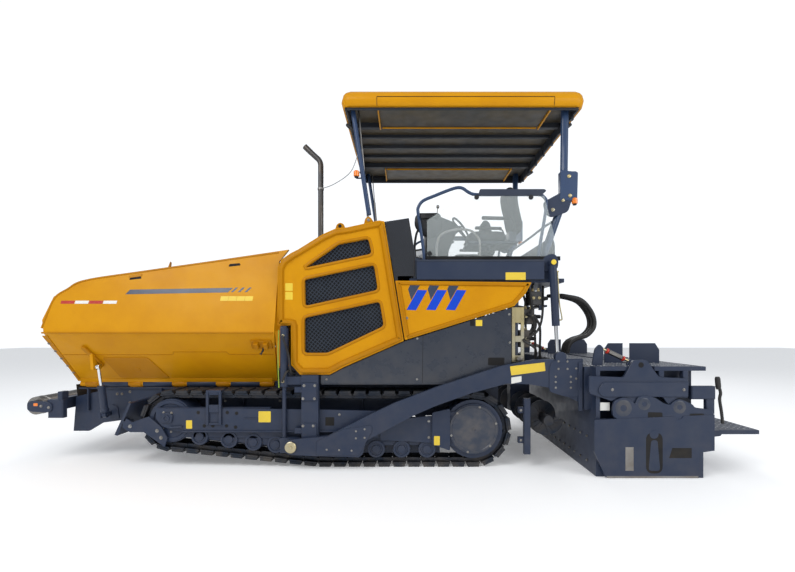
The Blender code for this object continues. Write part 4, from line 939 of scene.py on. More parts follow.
# tow arms, levelling gear and guide posts
arm = {
    "bolts": [(1.763, 0.938), (1.912, 0.938), (1.763, 0.886), (1.912, 0.886), (1.763, 0.830),
        (1.912, 0.830), (1.790, 1.015), (1.879, 1.015), (1.790, 1.090), (1.879, 1.088), (1.965, 1.020),
        (1.965, 0.92)],
    "front": [(-0.498, 0.218), (-0.375, 0.214), (-0.252, 0.208), (-0.209, 0.400), (-0.123, 0.420),
        (-0.209, 0.330), (-0.123, 0.335)],
    "label": [(1.313, 1.040), (1.655, 1.080), (1.664, 0.995), (1.326, 0.950)],
    "tag": [(1.326, 0.868), (1.427, 0.888), (1.427, 0.945), (1.326, 0.930)],
    "face": 1.30,
}
post = {
    "bolts": [(-0.735, 0.843), (-0.627, 0.843), (-0.745, 0.712), (-0.631, 0.712), (-0.745, 0.440),
        (-0.643, 0.440), (-0.745, 0.309), (-0.640, 0.305)],
    "clamps": [(0.770, 0.828), (0.357, 0.415)],
}


def makeTow(side, s):
    y, body = arm["face"], bodyOf["tow_arm_" + side]
    bolts("arm_bolts_" + side, [(x, y, z) for x, z in arm["bolts"]], 0.017, body, s)
    bolts("arm_foot_bolts_" + side, [(x, y, z) for x, z in arm["front"]], 0.016, body, s)
    # the doubler plate at the rear, under the bolts, and the one at the pin
    rear = plate(rounded([(1.70, 0.79), (1.70, 1.03), (1.74, 1.098), (2.02, 1.108), (2.02, 0.74),
        (1.86, 0.74)], 0.03, 3), y - 0.002, y + 0.008, 0.003)
    fork = plate(rounded([(-0.60, 0.160), (-0.60, 0.30), (-0.32, 0.42), (-0.05, 0.46), (-0.05, 0.40),
        (-0.18, 0.160)], 0.03, 3), y - 0.002, y + 0.008, 0.003)
    makePiece("arm_plates_" + side, gather(rear, fork), "frameBlue", body, s)
    makePiece("arm_label_" + side, plate(rounded(arm["label"], 0.006, 2), y, y + 0.0016, 0.0005),
        "labelYellow", body, s)
    makePiece("arm_tag_" + side, plate(rounded(arm["tag"], 0.006, 2), y, y + 0.0016, 0.0005),
        "labelWhite", body, s)
    cap = lathe([(0, 0.052), (0.006, 0.056), (0.014, 0.056), (0.018, 0.050), (0.018, 0.020),
        (0.026, 0.016)], (-0.855, 1.300, 0.24), (0, 1, 0), 28)
    makePiece("tow_pin_cap_" + side, cap, "zincYellow", "tow_" + side, s)
    # a hardened strip along the lower rear edge, where the arm bolts to the screed
    makePiece("arm_strip_" + side, box((1.985, y, 0.60), (2.025, y + 0.022, 1.08)), "frameBlue",
        body, s)


def makePost(side, s):
    y = 1.235
    pads = [box((-0.762, y - 0.004, low), (-0.608, y + 0.014, high))
        for low, high in ((0.69, 0.87), (0.285, 0.465))]
    slides = [box((-0.835, y - 0.035, low), (-0.755, y + 0.002, high), 0.006)
        for low, high in post["clamps"]]
    makePiece("post_pads_" + side, gather(*pads, *slides), "frameBlue", "tractor", s)
    bolts("post_bolts_" + side, [(x, y + 0.014, z) for x, z in post["bolts"]], 0.015, "tractor", s)
    # the levelling cylinder's gland, ports and hose
    gland = [lathe([(0, 0.035), (0.004, 0.041), (0.032, 0.041), (0.036, 0.035)], (-0.945, 1.20, z),
        (0, 0, 1), 24) for z in (0.836, 1.372)]
    port = [lathe([(0, 0.013), (0.022, 0.013), (0.024, 0.010), (0.045, 0.010)], (-0.945, 1.232, z),
        (0, 1, 0), 10) for z in (0.885, 1.345)]
    makePiece("levelling_glands_" + side, gather(*gland), "blackPlastic", "tractor", s)
    makePiece("levelling_ports_" + side, gather(*port), "zincYellow", "tractor", s)
    hoses = [tube(smoothPath(path, 6), 0.011, 10) for path in (
        [(-0.945, 1.275, 1.345), (-0.93, 1.285, 1.30), (-0.885, 1.27, 1.15), (-0.868, 1.24, 0.98),
            (-0.85, 1.16, 0.94)],
        [(-0.945, 1.275, 0.885), (-0.93, 1.285, 0.92), (-0.905, 1.27, 0.98), (-0.88, 1.22, 0.99),
            (-0.85, 1.15, 0.97)])]
    makePiece("levelling_hoses_" + side, gather(*hoses), "hoseRubber", "tractor", s)
    rope = tube(smoothPath([(-0.995, 1.225, 1.40), (-1.0, 1.228, 1.10), (-0.992, 1.225, 0.82)], 6),
        0.006, 8)
    makePiece("levelling_rope_" + side, rope, "ropeGreen", "tractor", s)
    # the limiter post at the rear of the machine, just inside the arm
    column = box((1.484, 1.13, 0.137), (1.549, 1.19, 0.703), 0.005)
    pads = [box((1.432, 1.11, z - 0.03), (1.50, 1.165, z + 0.03), 0.004) for z in (0.582, 0.276)]
    makePiece("rear_limiter_" + side, gather(column, *pads), "frameBlue", "tractor", s)
    bolts("rear_limiter_bolts_" + side, [(1.456, 1.165, z) for z in (0.582, 0.276)], 0.014, "tractor", s)


def makeRearBracket(side, s):
    # the plated bracket with two windows beside the lift cylinder
    low, high = 1.130, 1.142
    flat = [
        plate([(1.369, 1.072), (1.404, 1.072), (1.404, 1.633), (1.369, 1.633)], low, high, 0.002),
        plate([(1.461, 1.072), (1.496, 1.072), (1.496, 1.633), (1.461, 1.633)], low, high, 0.002),
        plate([(1.402, 1.473), (1.463, 1.473), (1.463, 1.633), (1.402, 1.633)], low, high, 0.002),
        plate([(1.402, 1.277), (1.463, 1.277), (1.463, 1.340), (1.402, 1.340)], low, high, 0.002),
        plate([(1.402, 1.072), (1.463, 1.072), (1.463, 1.140), (1.402, 1.140)], low, high, 0.002),
    ]
    makePiece("rear_bracket_" + side, gather(*flat), "zincYellow", "tractor", s)
    pin = lathe([(0, 0.020), (0.045, 0.020), (0.048, 0.026), (0.056, 0.026), (0.058, 0.020)],
        (1.438, high, 1.101), (0, 1, 0), 18)
    makePiece("rear_bracket_pin_" + side, pin, "wornSteel", "tractor", s)


# valves and hoses behind the panels
valve = {"blocks": [((1.46, 0.90, 1.22), (1.56, 1.10, 1.40)), ((1.50, 0.88, 1.46), (1.62, 1.08, 1.62)),
    ((1.57, 0.92, 1.66), (1.69, 1.10, 1.80))], "hose": 0.0125}


def makeValves(side, s):
    blocks = [box(a, b, 0.006) for a, b in valve["blocks"]]
    back = box((1.40, 0.80, 1.0), (1.44, 1.12, 1.86), 0.004)
    makePiece("valve_plate_" + side, back, "slatePaint", "tractor", s)
    makePiece("valve_blocks_" + side, gather(*blocks), "engineIron", "tractor", s)
    caps, fittings = [], []
    for (x0, y0, z0), (x1, y1, z1) in valve["blocks"]:
        middle = (z0 + z1) / 2
        caps += [lathe([(0, 0.024), (0.03, 0.024), (0.034, 0.020), (0.075, 0.020), (0.078, 0.014)],
            (x1 - 0.002, y, middle), (1, 0, 0), 16) for y in (y0 + 0.05, y1 - 0.05)]
        fittings += [lathe([(0, 0.016), (0.018, 0.016), (0.02, 0.012), (0.036, 0.012)],
            (x, y1 - 0.03, z1 - 0.002), (0, 0, 1), 6) for x in (x0 + 0.03, x1 - 0.03)]
        fittings += [lathe([(0, 0.016), (0.018, 0.016), (0.02, 0.012), (0.036, 0.012)],
            (x, y1 - 0.002, middle), (0, 1, 0), 6) for x in (x0 + 0.03, x1 - 0.03)]
    makePiece("valve_caps_" + side, gather(*caps), "blackPlastic", "tractor", s)
    makePiece("valve_fittings_" + side, gather(*fittings), "zincYellow", "tractor", s)
    paths = [
        [(1.49, 1.07, 1.43), (1.49, 1.07, 1.48), (1.455, 1.04, 1.60), (1.46, 1.02, 1.78),
            (1.47, 1.0, 1.88)],
        [(1.53, 1.07, 1.43), (1.53, 1.08, 1.50), (1.58, 1.115, 1.62), (1.56, 1.12, 1.78),
            (1.54, 1.08, 1.88)],
        [(1.53, 1.05, 1.65), (1.53, 1.05, 1.70), (1.50, 1.06, 1.80), (1.50, 1.06, 1.88)],
        [(1.49, 1.125, 1.31), (1.50, 1.16, 1.28), (1.60, 1.14, 1.22), (1.64, 1.06, 1.16),
            (1.66, 0.98, 1.12)],
        [(1.53, 1.125, 1.31), (1.55, 1.15, 1.33), (1.64, 1.13, 1.40), (1.70, 1.08, 1.55),
            (1.72, 1.04, 1.86)],
        [(1.53, 1.10, 1.54), (1.55, 1.125, 1.56), (1.60, 1.12, 1.50), (1.62, 1.10, 1.30),
            (1.64, 1.04, 1.10)],
        [(1.59, 1.10, 1.54), (1.62, 1.12, 1.52), (1.67, 1.10, 1.42), (1.68, 1.06, 1.20), (1.70, 1.0, 1.08)],
        [(1.60, 1.07, 1.83), (1.60, 1.07, 1.86), (1.62, 1.05, 1.89)],
    ]
    hoses = [tube(smoothPath(path, 7), valve["hose"], 10) for path in paths]
    makePiece("valve_hoses_" + side, gather(*hoses), "hoseRubber", "tractor", s)
    # collar, ports and pipe of the screed's lift cylinder
    top, eye = np.array((1.765, 1.206, 2.08)), np.array((1.815, 1.206, 1.13))
    line = (eye - top) / np.linalg.norm(eye - top)
    gland = gather(
        lathe([(0.614, 0.028), (0.616, 0.034), (0.638, 0.034), (0.6405, 0.028), (0.6405, 0.0165)], top,
            line, 22),
        lathe([(0.032, 0.029), (0.036, 0.034), (0.056, 0.034), (0.06, 0.029)], top, line, 22))
    makePiece("lift_cylinder_gland_" + side, gland, "blackPlastic", "lift_barrel_" + side, s)
    ports = [lathe([(0, 0.011), (0.02, 0.011), (0.022, 0.008), (0.034, 0.008)],
        top + line * d + (0.024, 0, 0), (1, 0, 0), 8) for d in (0.09, 0.58)]
    # the pipe runs along the barrel: how far down it each point lies, and how far out
    run = ((0.58, 0.052), (0.56, 0.066), (0.40, 0.048), (0.12, 0.046), (0.09, 0.052))
    pipe = tube(smoothPath([top + line * d + (out, 0, 0) for d, out in run], 6), 0.007, 8)
    makePiece("lift_cylinder_pipes_" + side, gather(*ports, pipe), "zincYellow", "lift_barrel_" + side, s)


bundle = {"radius": 0.019, "count": 5, "keep": 0.48}


def makeBundle(side, s):
    # a loop of hoses from under the deck to the screed
    hoses = []
    for k in range(bundle["count"]):
        spread = (k - (bundle["count"] - 1) / 2) * 0.038
        out = 0.012 * (k % 2)
        path = [(1.80 + spread * 0.3, 1.02 + out, 1.757), (1.92 + out, 1.02 + spread, 1.755),
            (2.10 + out, 1.03 + spread, 1.70 + out), (2.205 + out * 1.5, 1.04 + spread, 1.57),
            (2.222 + out, 1.05 + spread, 1.44), (2.150 + out, 1.05 + spread, 1.345),
            (2.04, 1.04 + spread, 1.305), (1.975, 1.03 + spread, 1.25), (1.955, 1.02 + spread, 1.16)]
        hoses.append(tube(smoothPath(path, 9), bundle["radius"], 12))
    piece = makePiece("screed_hoses_" + side, gather(*hoses), "hoseRubber", "tractor", s)
    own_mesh(piece)


for side, s in sides:
    makeTow(side, s)
    makePost(side, s)
    makeRearBracket(side, s)
    makeValves(side, s)
    makeBundle(side, s)
print("tow gear and hoses made")


# screed
screed = {
    "upper": [(2.025, 0.962), (2.357, 0.950), (2.443, 1.112), (2.571, 1.115), (2.691, 0.950),
        (2.949, 0.940), (2.971, 0.911), (2.968, 0.755), (2.863, 0.755), (2.777, 0.688), (2.726, 0.761),
        (2.674, 0.787), (2.494, 0.787), (2.451, 0.696), (2.374, 0.756), (2.305, 0.761), (2.240, 0.722),
        (2.025, 0.799)],
    "lower": [(2.240, 0.662), (2.257, 0.731), (2.340, 0.765), (2.417, 0.739), (2.451, 0.696),
        (2.480, 0.765), (2.537, 0.785), (2.640, 0.760), (2.726, 0.705), (2.786, 0.688), (2.820, 0.727),
        (2.872, 0.748), (2.992, 0.700), (3.018, 0.665), (3.172, 0.645), (3.203, 0.593), (3.203, 0.290),
        (3.078, 0.290), (2.709, 0.425), (2.700, 0.459), (2.417, 0.464), (2.240, 0.585)],
    "bolts": [(2.240, 0.834), (2.918, 0.834), (2.628, 0.567), (2.992, 0.579), (3.098, 0.559),
        (2.903, 0.655), (2.226, 0.150), (2.206, 0.095), (2.477, 0.216), (2.717, 0.104), (3.030, 0.095),
        (2.156, 0.500), (2.156, 0.40)],
    "face": 1.50,
}


def makeScreed(side, s):
    body = "extension_" + side
    y = screed["face"]
    # the end gate's linkage, flat plates one over the other, stays inside the machine's width
    over = y - 0.004
    parts = [plate(rounded(screed["upper"], 0.022, 3), y - 0.062, over - 0.020, 0.003)]
    parts.append(plate(rounded(screed["lower"], 0.022, 3), y - 0.036, over, 0.003))
    bar = rounded([(2.100, 0.820), (2.150, 0.905), (2.960, 0.905), (2.960, 0.765), (2.150, 0.765)],
        0.03, 4)
    parts.append(plate(bar, over - 0.022, over - 0.008, 0.004))
    tubeBox = box((3.003, y - 0.090, 0.740), (3.229, y - 0.026, 0.865), 0.008)
    foot = box((3.145, y - 0.084, 0.60), (3.225, y - 0.034, 0.745), 0.006)
    parts += [tubeBox, foot]
    # hangers carry the linkage back to the end plate below and the walkway above
    parts += [box((x, y - 0.060, 0.56), (x + 0.06, y - 0.03, 0.70), 0.004) for x in (2.27, 2.60, 2.92)]
    parts += [box((x, y - 0.11, 0.88), (x + 0.05, y - 0.045, 1.012), 0.004) for x in (2.70, 2.93)]
    makePiece("end_gate_links_" + side, gather(*parts), "frameBlue", body, s)
    pivots = ((2.340, 0.660, 0.078), (2.537, 0.700, 0.058), (2.872, 0.670, 0.060))
    lobes = [lathe([(0, r), (0.004, r), (0.006, r - 0.004), (0.006, r * 0.42), (0.002, r * 0.38)],
        (x, over - 0.004, z), (0, 1, 0), 28) for x, z, r in pivots]
    makePiece("end_gate_pivots_" + side, gather(*lobes), "slatePaint", body, s)
    places = [(x, over - 0.010, z) for x, z in screed["bolts"] if z > 0.62]
    places += [(x, over - 0.008, z) for x, z in screed["bolts"] if z <= 0.62]
    bolts("end_gate_bolts_" + side, places, 0.015, body, s)
    # dark discs and patches laid on the end gate stand for its holes and openings: painted shade
    dark = [
        plate(circle((2.517, 1.067), 0.026, 20), over - 0.020, over - 0.0185, 0.0005),
        plate(rounded([(2.571, 0.555), (2.709, 0.545), (2.709, 0.620), (2.571, 0.624)], 0.012, 2),
            over - 0.0005, over + 0.0008, 0.0004),
        plate(rounded([(2.966, 0.542), (3.103, 0.542), (3.103, 0.610), (2.966, 0.610)], 0.012, 2),
            over - 0.0005, over + 0.0008, 0.0004),
        plate(circle((2.872, 0.450), 0.022, 18), over - 0.0005, over + 0.0008, 0.0004),
        plate(circle((3.055, 0.420), 0.022, 18), over - 0.0005, over + 0.0008, 0.0004),
        plate([(2.769, 0.190), (2.983, 0.190), (2.983, 0.285), (2.800, 0.285)], y - 0.0006, y + 0.0006,
            0.0003),
        plate(rounded([(2.551, 0.044), (2.709, 0.044), (2.709, 0.430), (2.551, 0.430)], 0.07, 6),
            y - 0.0006, y + 0.0006, 0.0003),
    ]
    makePiece("end_gate_openings_" + side, gather(*dark), "deepBlack", body, s)
    boss = gather(
        plate(rounded([(2.575, 0.07), (2.685, 0.07), (2.66, 0.36), (2.60, 0.36)], 0.03, 3), y - 0.004,
            y + 0.0010, 0.0006),
        lathe([(-0.004, 0.042), (0.0006, 0.042), (0.0014, 0.038), (0.0014, 0.016)], (2.628, y, 0.415),
            (0, 1, 0), 24))
    makePiece("end_gate_boss_" + side, boss, "frameBlue", body, s)
    patch = plate([(2.134, 0.628), (2.237, 0.628), (2.237, 0.705), (2.134, 0.705)], y - 0.070, y - 0.062,
        0.001)
    makePiece("end_gate_tag_" + side, patch, "labelWhite", body, s)
    edgeBar = gather(
        plate([(2.185, 0.002), (3.045, 0.002), (3.045, 0.020), (2.178, 0.020)], y - 0.0405, y + 0.0012,
            0.0006),
        plate([(2.357, 0.293), (2.434, 0.293), (2.434, 0.070), (2.357, 0.070)], y - 0.002, y + 0.0012,
            0.0006))
    makePiece("end_gate_shoe_" + side, edgeBar, "wornSteel", body, s)
    # the extension's guide tube collars and the crank that sets the end gate's height
    collars = [lathe([(0, 0.052), (0.006, 0.062), (0.040, 0.062), (0.046, 0.052)], (2.86, 1.395, z),
        (0, 1, 0), 28) for z in (0.60, 0.86)]
    makePiece("guide_collars_" + side, gather(*collars), "slatePaint", body, s)
    crank = tube(smoothPath([(3.293, 1.42, 0.864), (3.311, 1.42, 0.794), (3.302, 1.42, 0.732),
        (3.320, 1.42, 0.609), (3.332, 1.42, 0.50)], 5), 0.014, 10)
    makePiece("gate_crank_" + side,
        gather(crank, lathe([(0, 0.02), (0.03, 0.024), (0.10, 0.024), (0.12, 0.018)], (3.292, 1.42, 0.83),
            (-0.1, 0, 1), 14)), "blackPlastic", body, s)
    # turnbuckle from the screed's bracket to the upper link's lug
    a, b = np.array((2.194, 1.30, 1.229)), np.array((2.50, 1.30, 1.085))
    line = (b - a) / np.linalg.norm(b - a)
    rods = gather(lathe([(0, 0.012), (0.11, 0.012)], a, line, 12),
        lathe([(0.24, 0.012), (0.34, 0.012)], a, line, 12))
    hexed = lathe([(0.10, 0.016), (0.106, 0.024), (0.244, 0.024), (0.25, 0.016)], a, line, 6)
    red = gather(*[lathe([(0, 0.021), (0.004, 0.027), (0.018, 0.027), (0.022, 0.021)], a + line * d, line,
        14) for d in (0.078, 0.252)])
    makePiece("turnbuckle_ends_" + side, rods, "zincYellow", "screed", s)
    makePiece("turnbuckle_body_" + side, hexed, "wornSteel", "screed", s)
    makePiece("turnbuckle_nuts_" + side, red, "clampRed", "screed", s)
    bracket = plate(rounded([(2.120, 1.045), (2.150, 1.215), (2.194, 1.262), (2.235, 1.225),
        (2.225, 1.045)], 0.02, 3), 1.285, 1.315, 0.004)
    lug = plate(rounded([(2.455, 1.045), (2.480, 1.100), (2.505, 1.115), (2.530, 1.100), (2.560, 1.045)],
        0.015, 3), 1.285, 1.315, 0.004)
    makePiece("turnbuckle_lugs_" + side, gather(bracket, lug), "frameBlue", "screed", s)


tread = {"pitch": 0.060, "size": 0.017, "rise": 0.0028}


def checker(low, high, z):
    # crossed lens-shaped bumps, alternately along each diagonal
    bump = [(-1, 0), (-0.45, -0.30), (0.45, -0.30), (1, 0), (0.45, 0.30), (-0.45, 0.30)]
    shapes = []
    for k, turn in enumerate((45, -45)):
        a = math.radians(turn)
        flat = np.array(bump) * tread["size"] @ np.array([[math.cos(a), math.sin(a)],
            [-math.sin(a), math.cos(a)]])
        xs = np.arange(low[0] + tread["pitch"] * 0.6, high[0] - tread["pitch"] * 0.4, tread["pitch"])
        ys = np.arange(low[1] + tread["pitch"] * 0.6, high[1] - tread["pitch"] * 0.4, tread["pitch"])
        grid = np.stack(np.meshgrid(xs, ys, indexing="ij"), axis=-1)
        odd = np.add.outer(np.arange(len(xs)), np.arange(len(ys))) % 2 == k
        spots = grid[odd]
        lens = loft([raised(flat, -0.001, "xy"), raised(flat * 0.7, tread["rise"], "xy")])
        shapes.append(copies(lens, np.column_stack([spots, np.full(len(spots), z)])))
    return gather(*shapes)


def makeWalkways():
    for side, s in sides:
        makePiece("screed_tread_" + side, checker((2.02, 0.02), (2.60, 1.43), 1.050), "walkSteel",
            "screed", s)
        makePiece("extension_tread_" + side, checker((2.68, 0.07), (3.14, 1.43), 1.050), "walkSteel",
            "extension_" + side, s)
        makePiece("step_tread_" + side, checker((3.36, 0.17), (3.73, 1.33), 0.420), "walkSteel",
            "step_" + side, s)
        # an upright tread plate stands between the walkway and the tractor
        upright = plate([(2.400, 1.048), (2.595, 1.048), (2.595, 1.26), (2.44, 1.26), (2.400, 1.20)],
            0.944, 0.956, 0.002)
        makePiece("kick_plate_" + side, upright, "frameBlue", "screed", s)
        outer = plate([(2.668, 1.048), (2.985, 1.048), (2.985, 1.19), (2.94, 1.26), (2.668, 1.26)], 0.944,
            0.956, 0.002)
        makePiece("kick_plate_outer_" + side, outer, "frameBlue", "extension_" + side, s)
        # heaters' covers between the screed's walkway and its box
        lids = [box((2.16, y, 0.418), (2.54, y + 0.26, 0.452), 0.006) for y in (0.10, 0.44, 0.78, 1.12)]
        makePiece("screed_lids_" + side, gather(*lids), "slatePaint", "screed", s)
        bolts("screed_front_bolts_" + side, [(2.098, y, z) for y in np.arange(0.12, 1.40, 0.16)
            for z in (0.10, 0.34)], 0.015, "screed", s, direction=(-1, 0, 0))


for side, s in sides:
    makeScreed(side, s)
makeWalkways()
print("screed made")


# roof
roofLook = {"front": -0.335, "rear": 2.07, "half": 1.150, "under": 3.752, "awning": (-0.01, 1.79),
    "inner": 0.62, "beams": (0.0, 0.31)}


def makeRoof():
    front, rear, half, under = roofLook["front"], roofLook["rear"], roofLook["half"], roofLook["under"]
    x0, x1 = roofLook["awning"]
    # the lining is the roof's yellow underside painted dim brown: painted shade
    lining = box((front + 0.02, -half, under), (rear - 0.02, half, under + 0.010), 0.002)
    makePiece("roof_lining", lining, "roofPaintedShade", "tractor")
    skirts = [box((front - 0.004, -half, 3.648), (front + 0.016, half, under + 0.02), 0.003),
        box((rear - 0.036, -half, 3.648), (rear - 0.016, half, under + 0.02), 0.003)]
    skirts += [box((front, y - 0.008, 3.650), (rear - 0.03, y + 0.008, under + 0.02), 0.003)
        for y in (-half + 0.008, half - 0.008)]
    # long channels under the lining, and the hooked trim at the rear edge
    channels = [box((front + 0.03, y - 0.022, under - 0.036), (rear - 0.05, y + 0.022, under + 0.002),
        0.004) for b in roofLook["beams"] for y in {b, -b}]
    channels += [box((front + 0.03, s * roofLook["inner"] - 0.03, under - 0.058),
        (rear - 0.05, s * roofLook["inner"] + 0.03, under + 0.002), 0.004) for s in (-1, 1)]
    clips = [box((2.025, y, 3.625), (2.060, y + 0.05, 3.70), 0.006) for y in np.arange(-1.0, 1.0, 0.33)]
    makePiece("roof_channels", gather(*skirts, *channels, *clips), "roofDark", "tractor")
    for side, s in sides:
        inner = roofLook["inner"] + 0.035
        # the awning tray's underside is yellow painted dim brown: painted shade
        tray = box((x0 + 0.02, inner, 3.690), (x1 - 0.02, half - 0.02, 3.698), 0.002)
        makePiece("awning_tray_" + side, tray, "roofPaintedShade", "tractor", s)
        upstand = box((x0 + 0.03, inner - 0.004, 3.676), (x1 - 0.03, inner + 0.008, 3.716), 0.003)
        rails = [box((x, inner - 0.02, 3.672), (x + 0.014, half - 0.015, 3.70), 0.003)
            for x in (x0, x1 - 0.014)]
        makePiece("awning_edges_" + side, gather(upstand, *rails), "roofLip", "tractor", s)
        # the awning's joint in the roof's side follows the rounded edge
        edge = [(1.1772, 3.6765), (1.1869, 3.6855), (1.2001, 3.7350), (1.2001, 3.7500), (1.1998, 3.7600)]
        line = [(x0, y, z) for y, z in edge]
        line += [(x, 1.1998, 3.7605) for x in np.linspace(x0 + 0.004, x1 - 0.004, 8)]
        line += [(x1, y, z) for y, z in edge[::-1]]
        makePiece("awning_joint_" + side, tube(line, 0.0028, 6), "deepBlack", "tractor", s)
        # gas struts, joint boxes and lamps on the roof posts
        strut = lathe([(0, 0.012), (0.75, 0.012), (0.752, 0.007), (1.18, 0.007)], (-0.115, 0.985, 2.56),
            (-0.10, 0.0, 1.18), 12)
        makePiece("roof_strut_" + side, strut, "wornSteel", "tractor", s)
        joint = plate(rounded([(1.872, 2.735), (2.052, 2.735), (2.060, 3.030), (1.880, 3.050)],
            0.018, 3), 1.098, 1.112, 0.004)
        ear = plate(rounded([(1.700, 2.720), (1.960, 2.860), (2.015, 2.800), (1.960, 2.620),
            (1.780, 2.560), (1.720, 2.600)], 0.035, 4), 1.090, 1.108, 0.005)
        makePiece("roof_joint_" + side, joint, "postBlue", "tractor", s)
        makePiece("roof_joint_ear_" + side, ear, "frameBlue", "tractor", s)
        bolts("roof_joint_bolts_" + side, [(1.965, 1.112, 2.985), (1.975, 1.112, 2.785),
            (1.905, 1.108, 2.74), (1.80, 1.108, 2.64)], 0.020, "tractor", s, "zincYellow")
        lamps = (("front", (-0.230, 1.065, 2.985), (-0.155, 1.05, 2.985)),
            ("rear", (2.028, 1.10, 2.690), (1.98, 1.10, 2.745)))
        for name, place, back in lamps:
            holder = tube([back, (place[0], place[1], back[2] - 0.006), place], 0.008, 8)
            makePiece("lamp_holder_" + name + "_" + side, holder, "frameBlue", "tractor", s)
            foot = lathe([(0, 0.020), (0.012, 0.020), (0.014, 0.016)], place, (0, 0, 1), 14)
            lens = lathe([(0, 0.024), (0.004, 0.030), (0.050, 0.030), (0.060, 0.022), (0.064, 0.010)],
                np.array(place) + (0, 0, 0.012), (0, 0, 1), 18)
            makePiece("lamp_foot_" + name + "_" + side, foot, "blackPlastic", "tractor", s)
            makePiece("lamp_" + name + "_" + side, lens, "lampOrange", "tractor", s)
        work = [lathe([(0, 0.03), (0.01, 0.046), (0.045, 0.052), (0.050, 0.048), (0.046, 0.040)],
            (x, 0.75, 3.69), (lean, 0, -1), 22) for x, lean in ((-0.315, -0.6), (2.06, 0.6))]
        makePiece("work_lamps_" + side, gather(*work), "blackPlastic", "tractor", s)
    stay = tube(smoothPath([(-0.80, 0.0, 3.20), (-0.62, 0.0, 3.27), (-0.42, 0.0, 3.42),
        (-0.32, 0.0, 3.66)], 6), 0.005, 8)
    clamp = gather(*[lathe([(0, 0.037), (0.003, 0.041), (0.027, 0.041), (0.03, 0.037)], (-0.80, 0, z),
        (0, 0, 1), 22) for z in (3.185, 2.56)])
    makePiece("exhaust_stay", gather(stay, clamp), "wornSteel", "tractor")


def makeExhaust():
    turn = np.radians(np.linspace(0, 52, 9))
    arch = np.stack([-0.92 + 0.12 * np.cos(turn), np.zeros(9), 3.50 + 0.12 * np.sin(turn)], axis=1)
    path = np.vstack([[(-0.603, 0, 1.75), (-0.68, 0, 1.752), (-0.735, 0, 1.775), (-0.775, 0, 1.815),
        (-0.797, 0, 1.88), (-0.80, 0, 2.0), (-0.80, 0, 2.8)], arch,
        [(-0.925, 0, 3.667), (-1.003, 0, 3.743)]])
    outer = tube(path, 0.035, 28)
    mouth = tube(path[-2:], (0.0365, 0.0365), 28)
    piece = makePiece("exhaust_stack", gather(outer, mouth), "exhaustSteel", "tractor")
    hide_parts("exhaust_pipe")
    toward = path[-1] - path[-2]
    # a dark disc over the pipe's capped end stands for its open, shaded inside: painted shade
    dark = lathe([(-0.01, 0.028), (0.0012, 0.029)], path[-1], toward, 24)
    makePiece("exhaust_mouth", dark, "deepBlack", "tractor")


makeRoof()
makeExhaust()
print("roof made")


# operator's deck
deck = {
    "rail": [(0.47, 2.111), (0.47, 2.18), (0.435, 2.44), (0.41, 2.60), (0.412, 2.66), (0.46, 2.725),
        (0.58, 2.777), (0.72, 2.833), (0.81, 2.860), (0.868, 2.853), (0.93, 2.812), (1.0, 2.79),
        (1.2, 2.788), (1.5, 2.788), (1.65, 2.788), (1.70, 2.765), (1.728, 2.70), (1.70, 2.50),
        (1.665, 2.30), (1.645, 2.17), (1.64, 2.111)],
    "knobs": [(0.459, 2.56), (0.526, 2.178), (1.005, 2.752), (1.559, 2.752)],
    "visor": [(1.020, 2.770), (1.040, 2.838), (1.700, 2.838), (1.720, 2.822), (1.665, 2.770)],
}


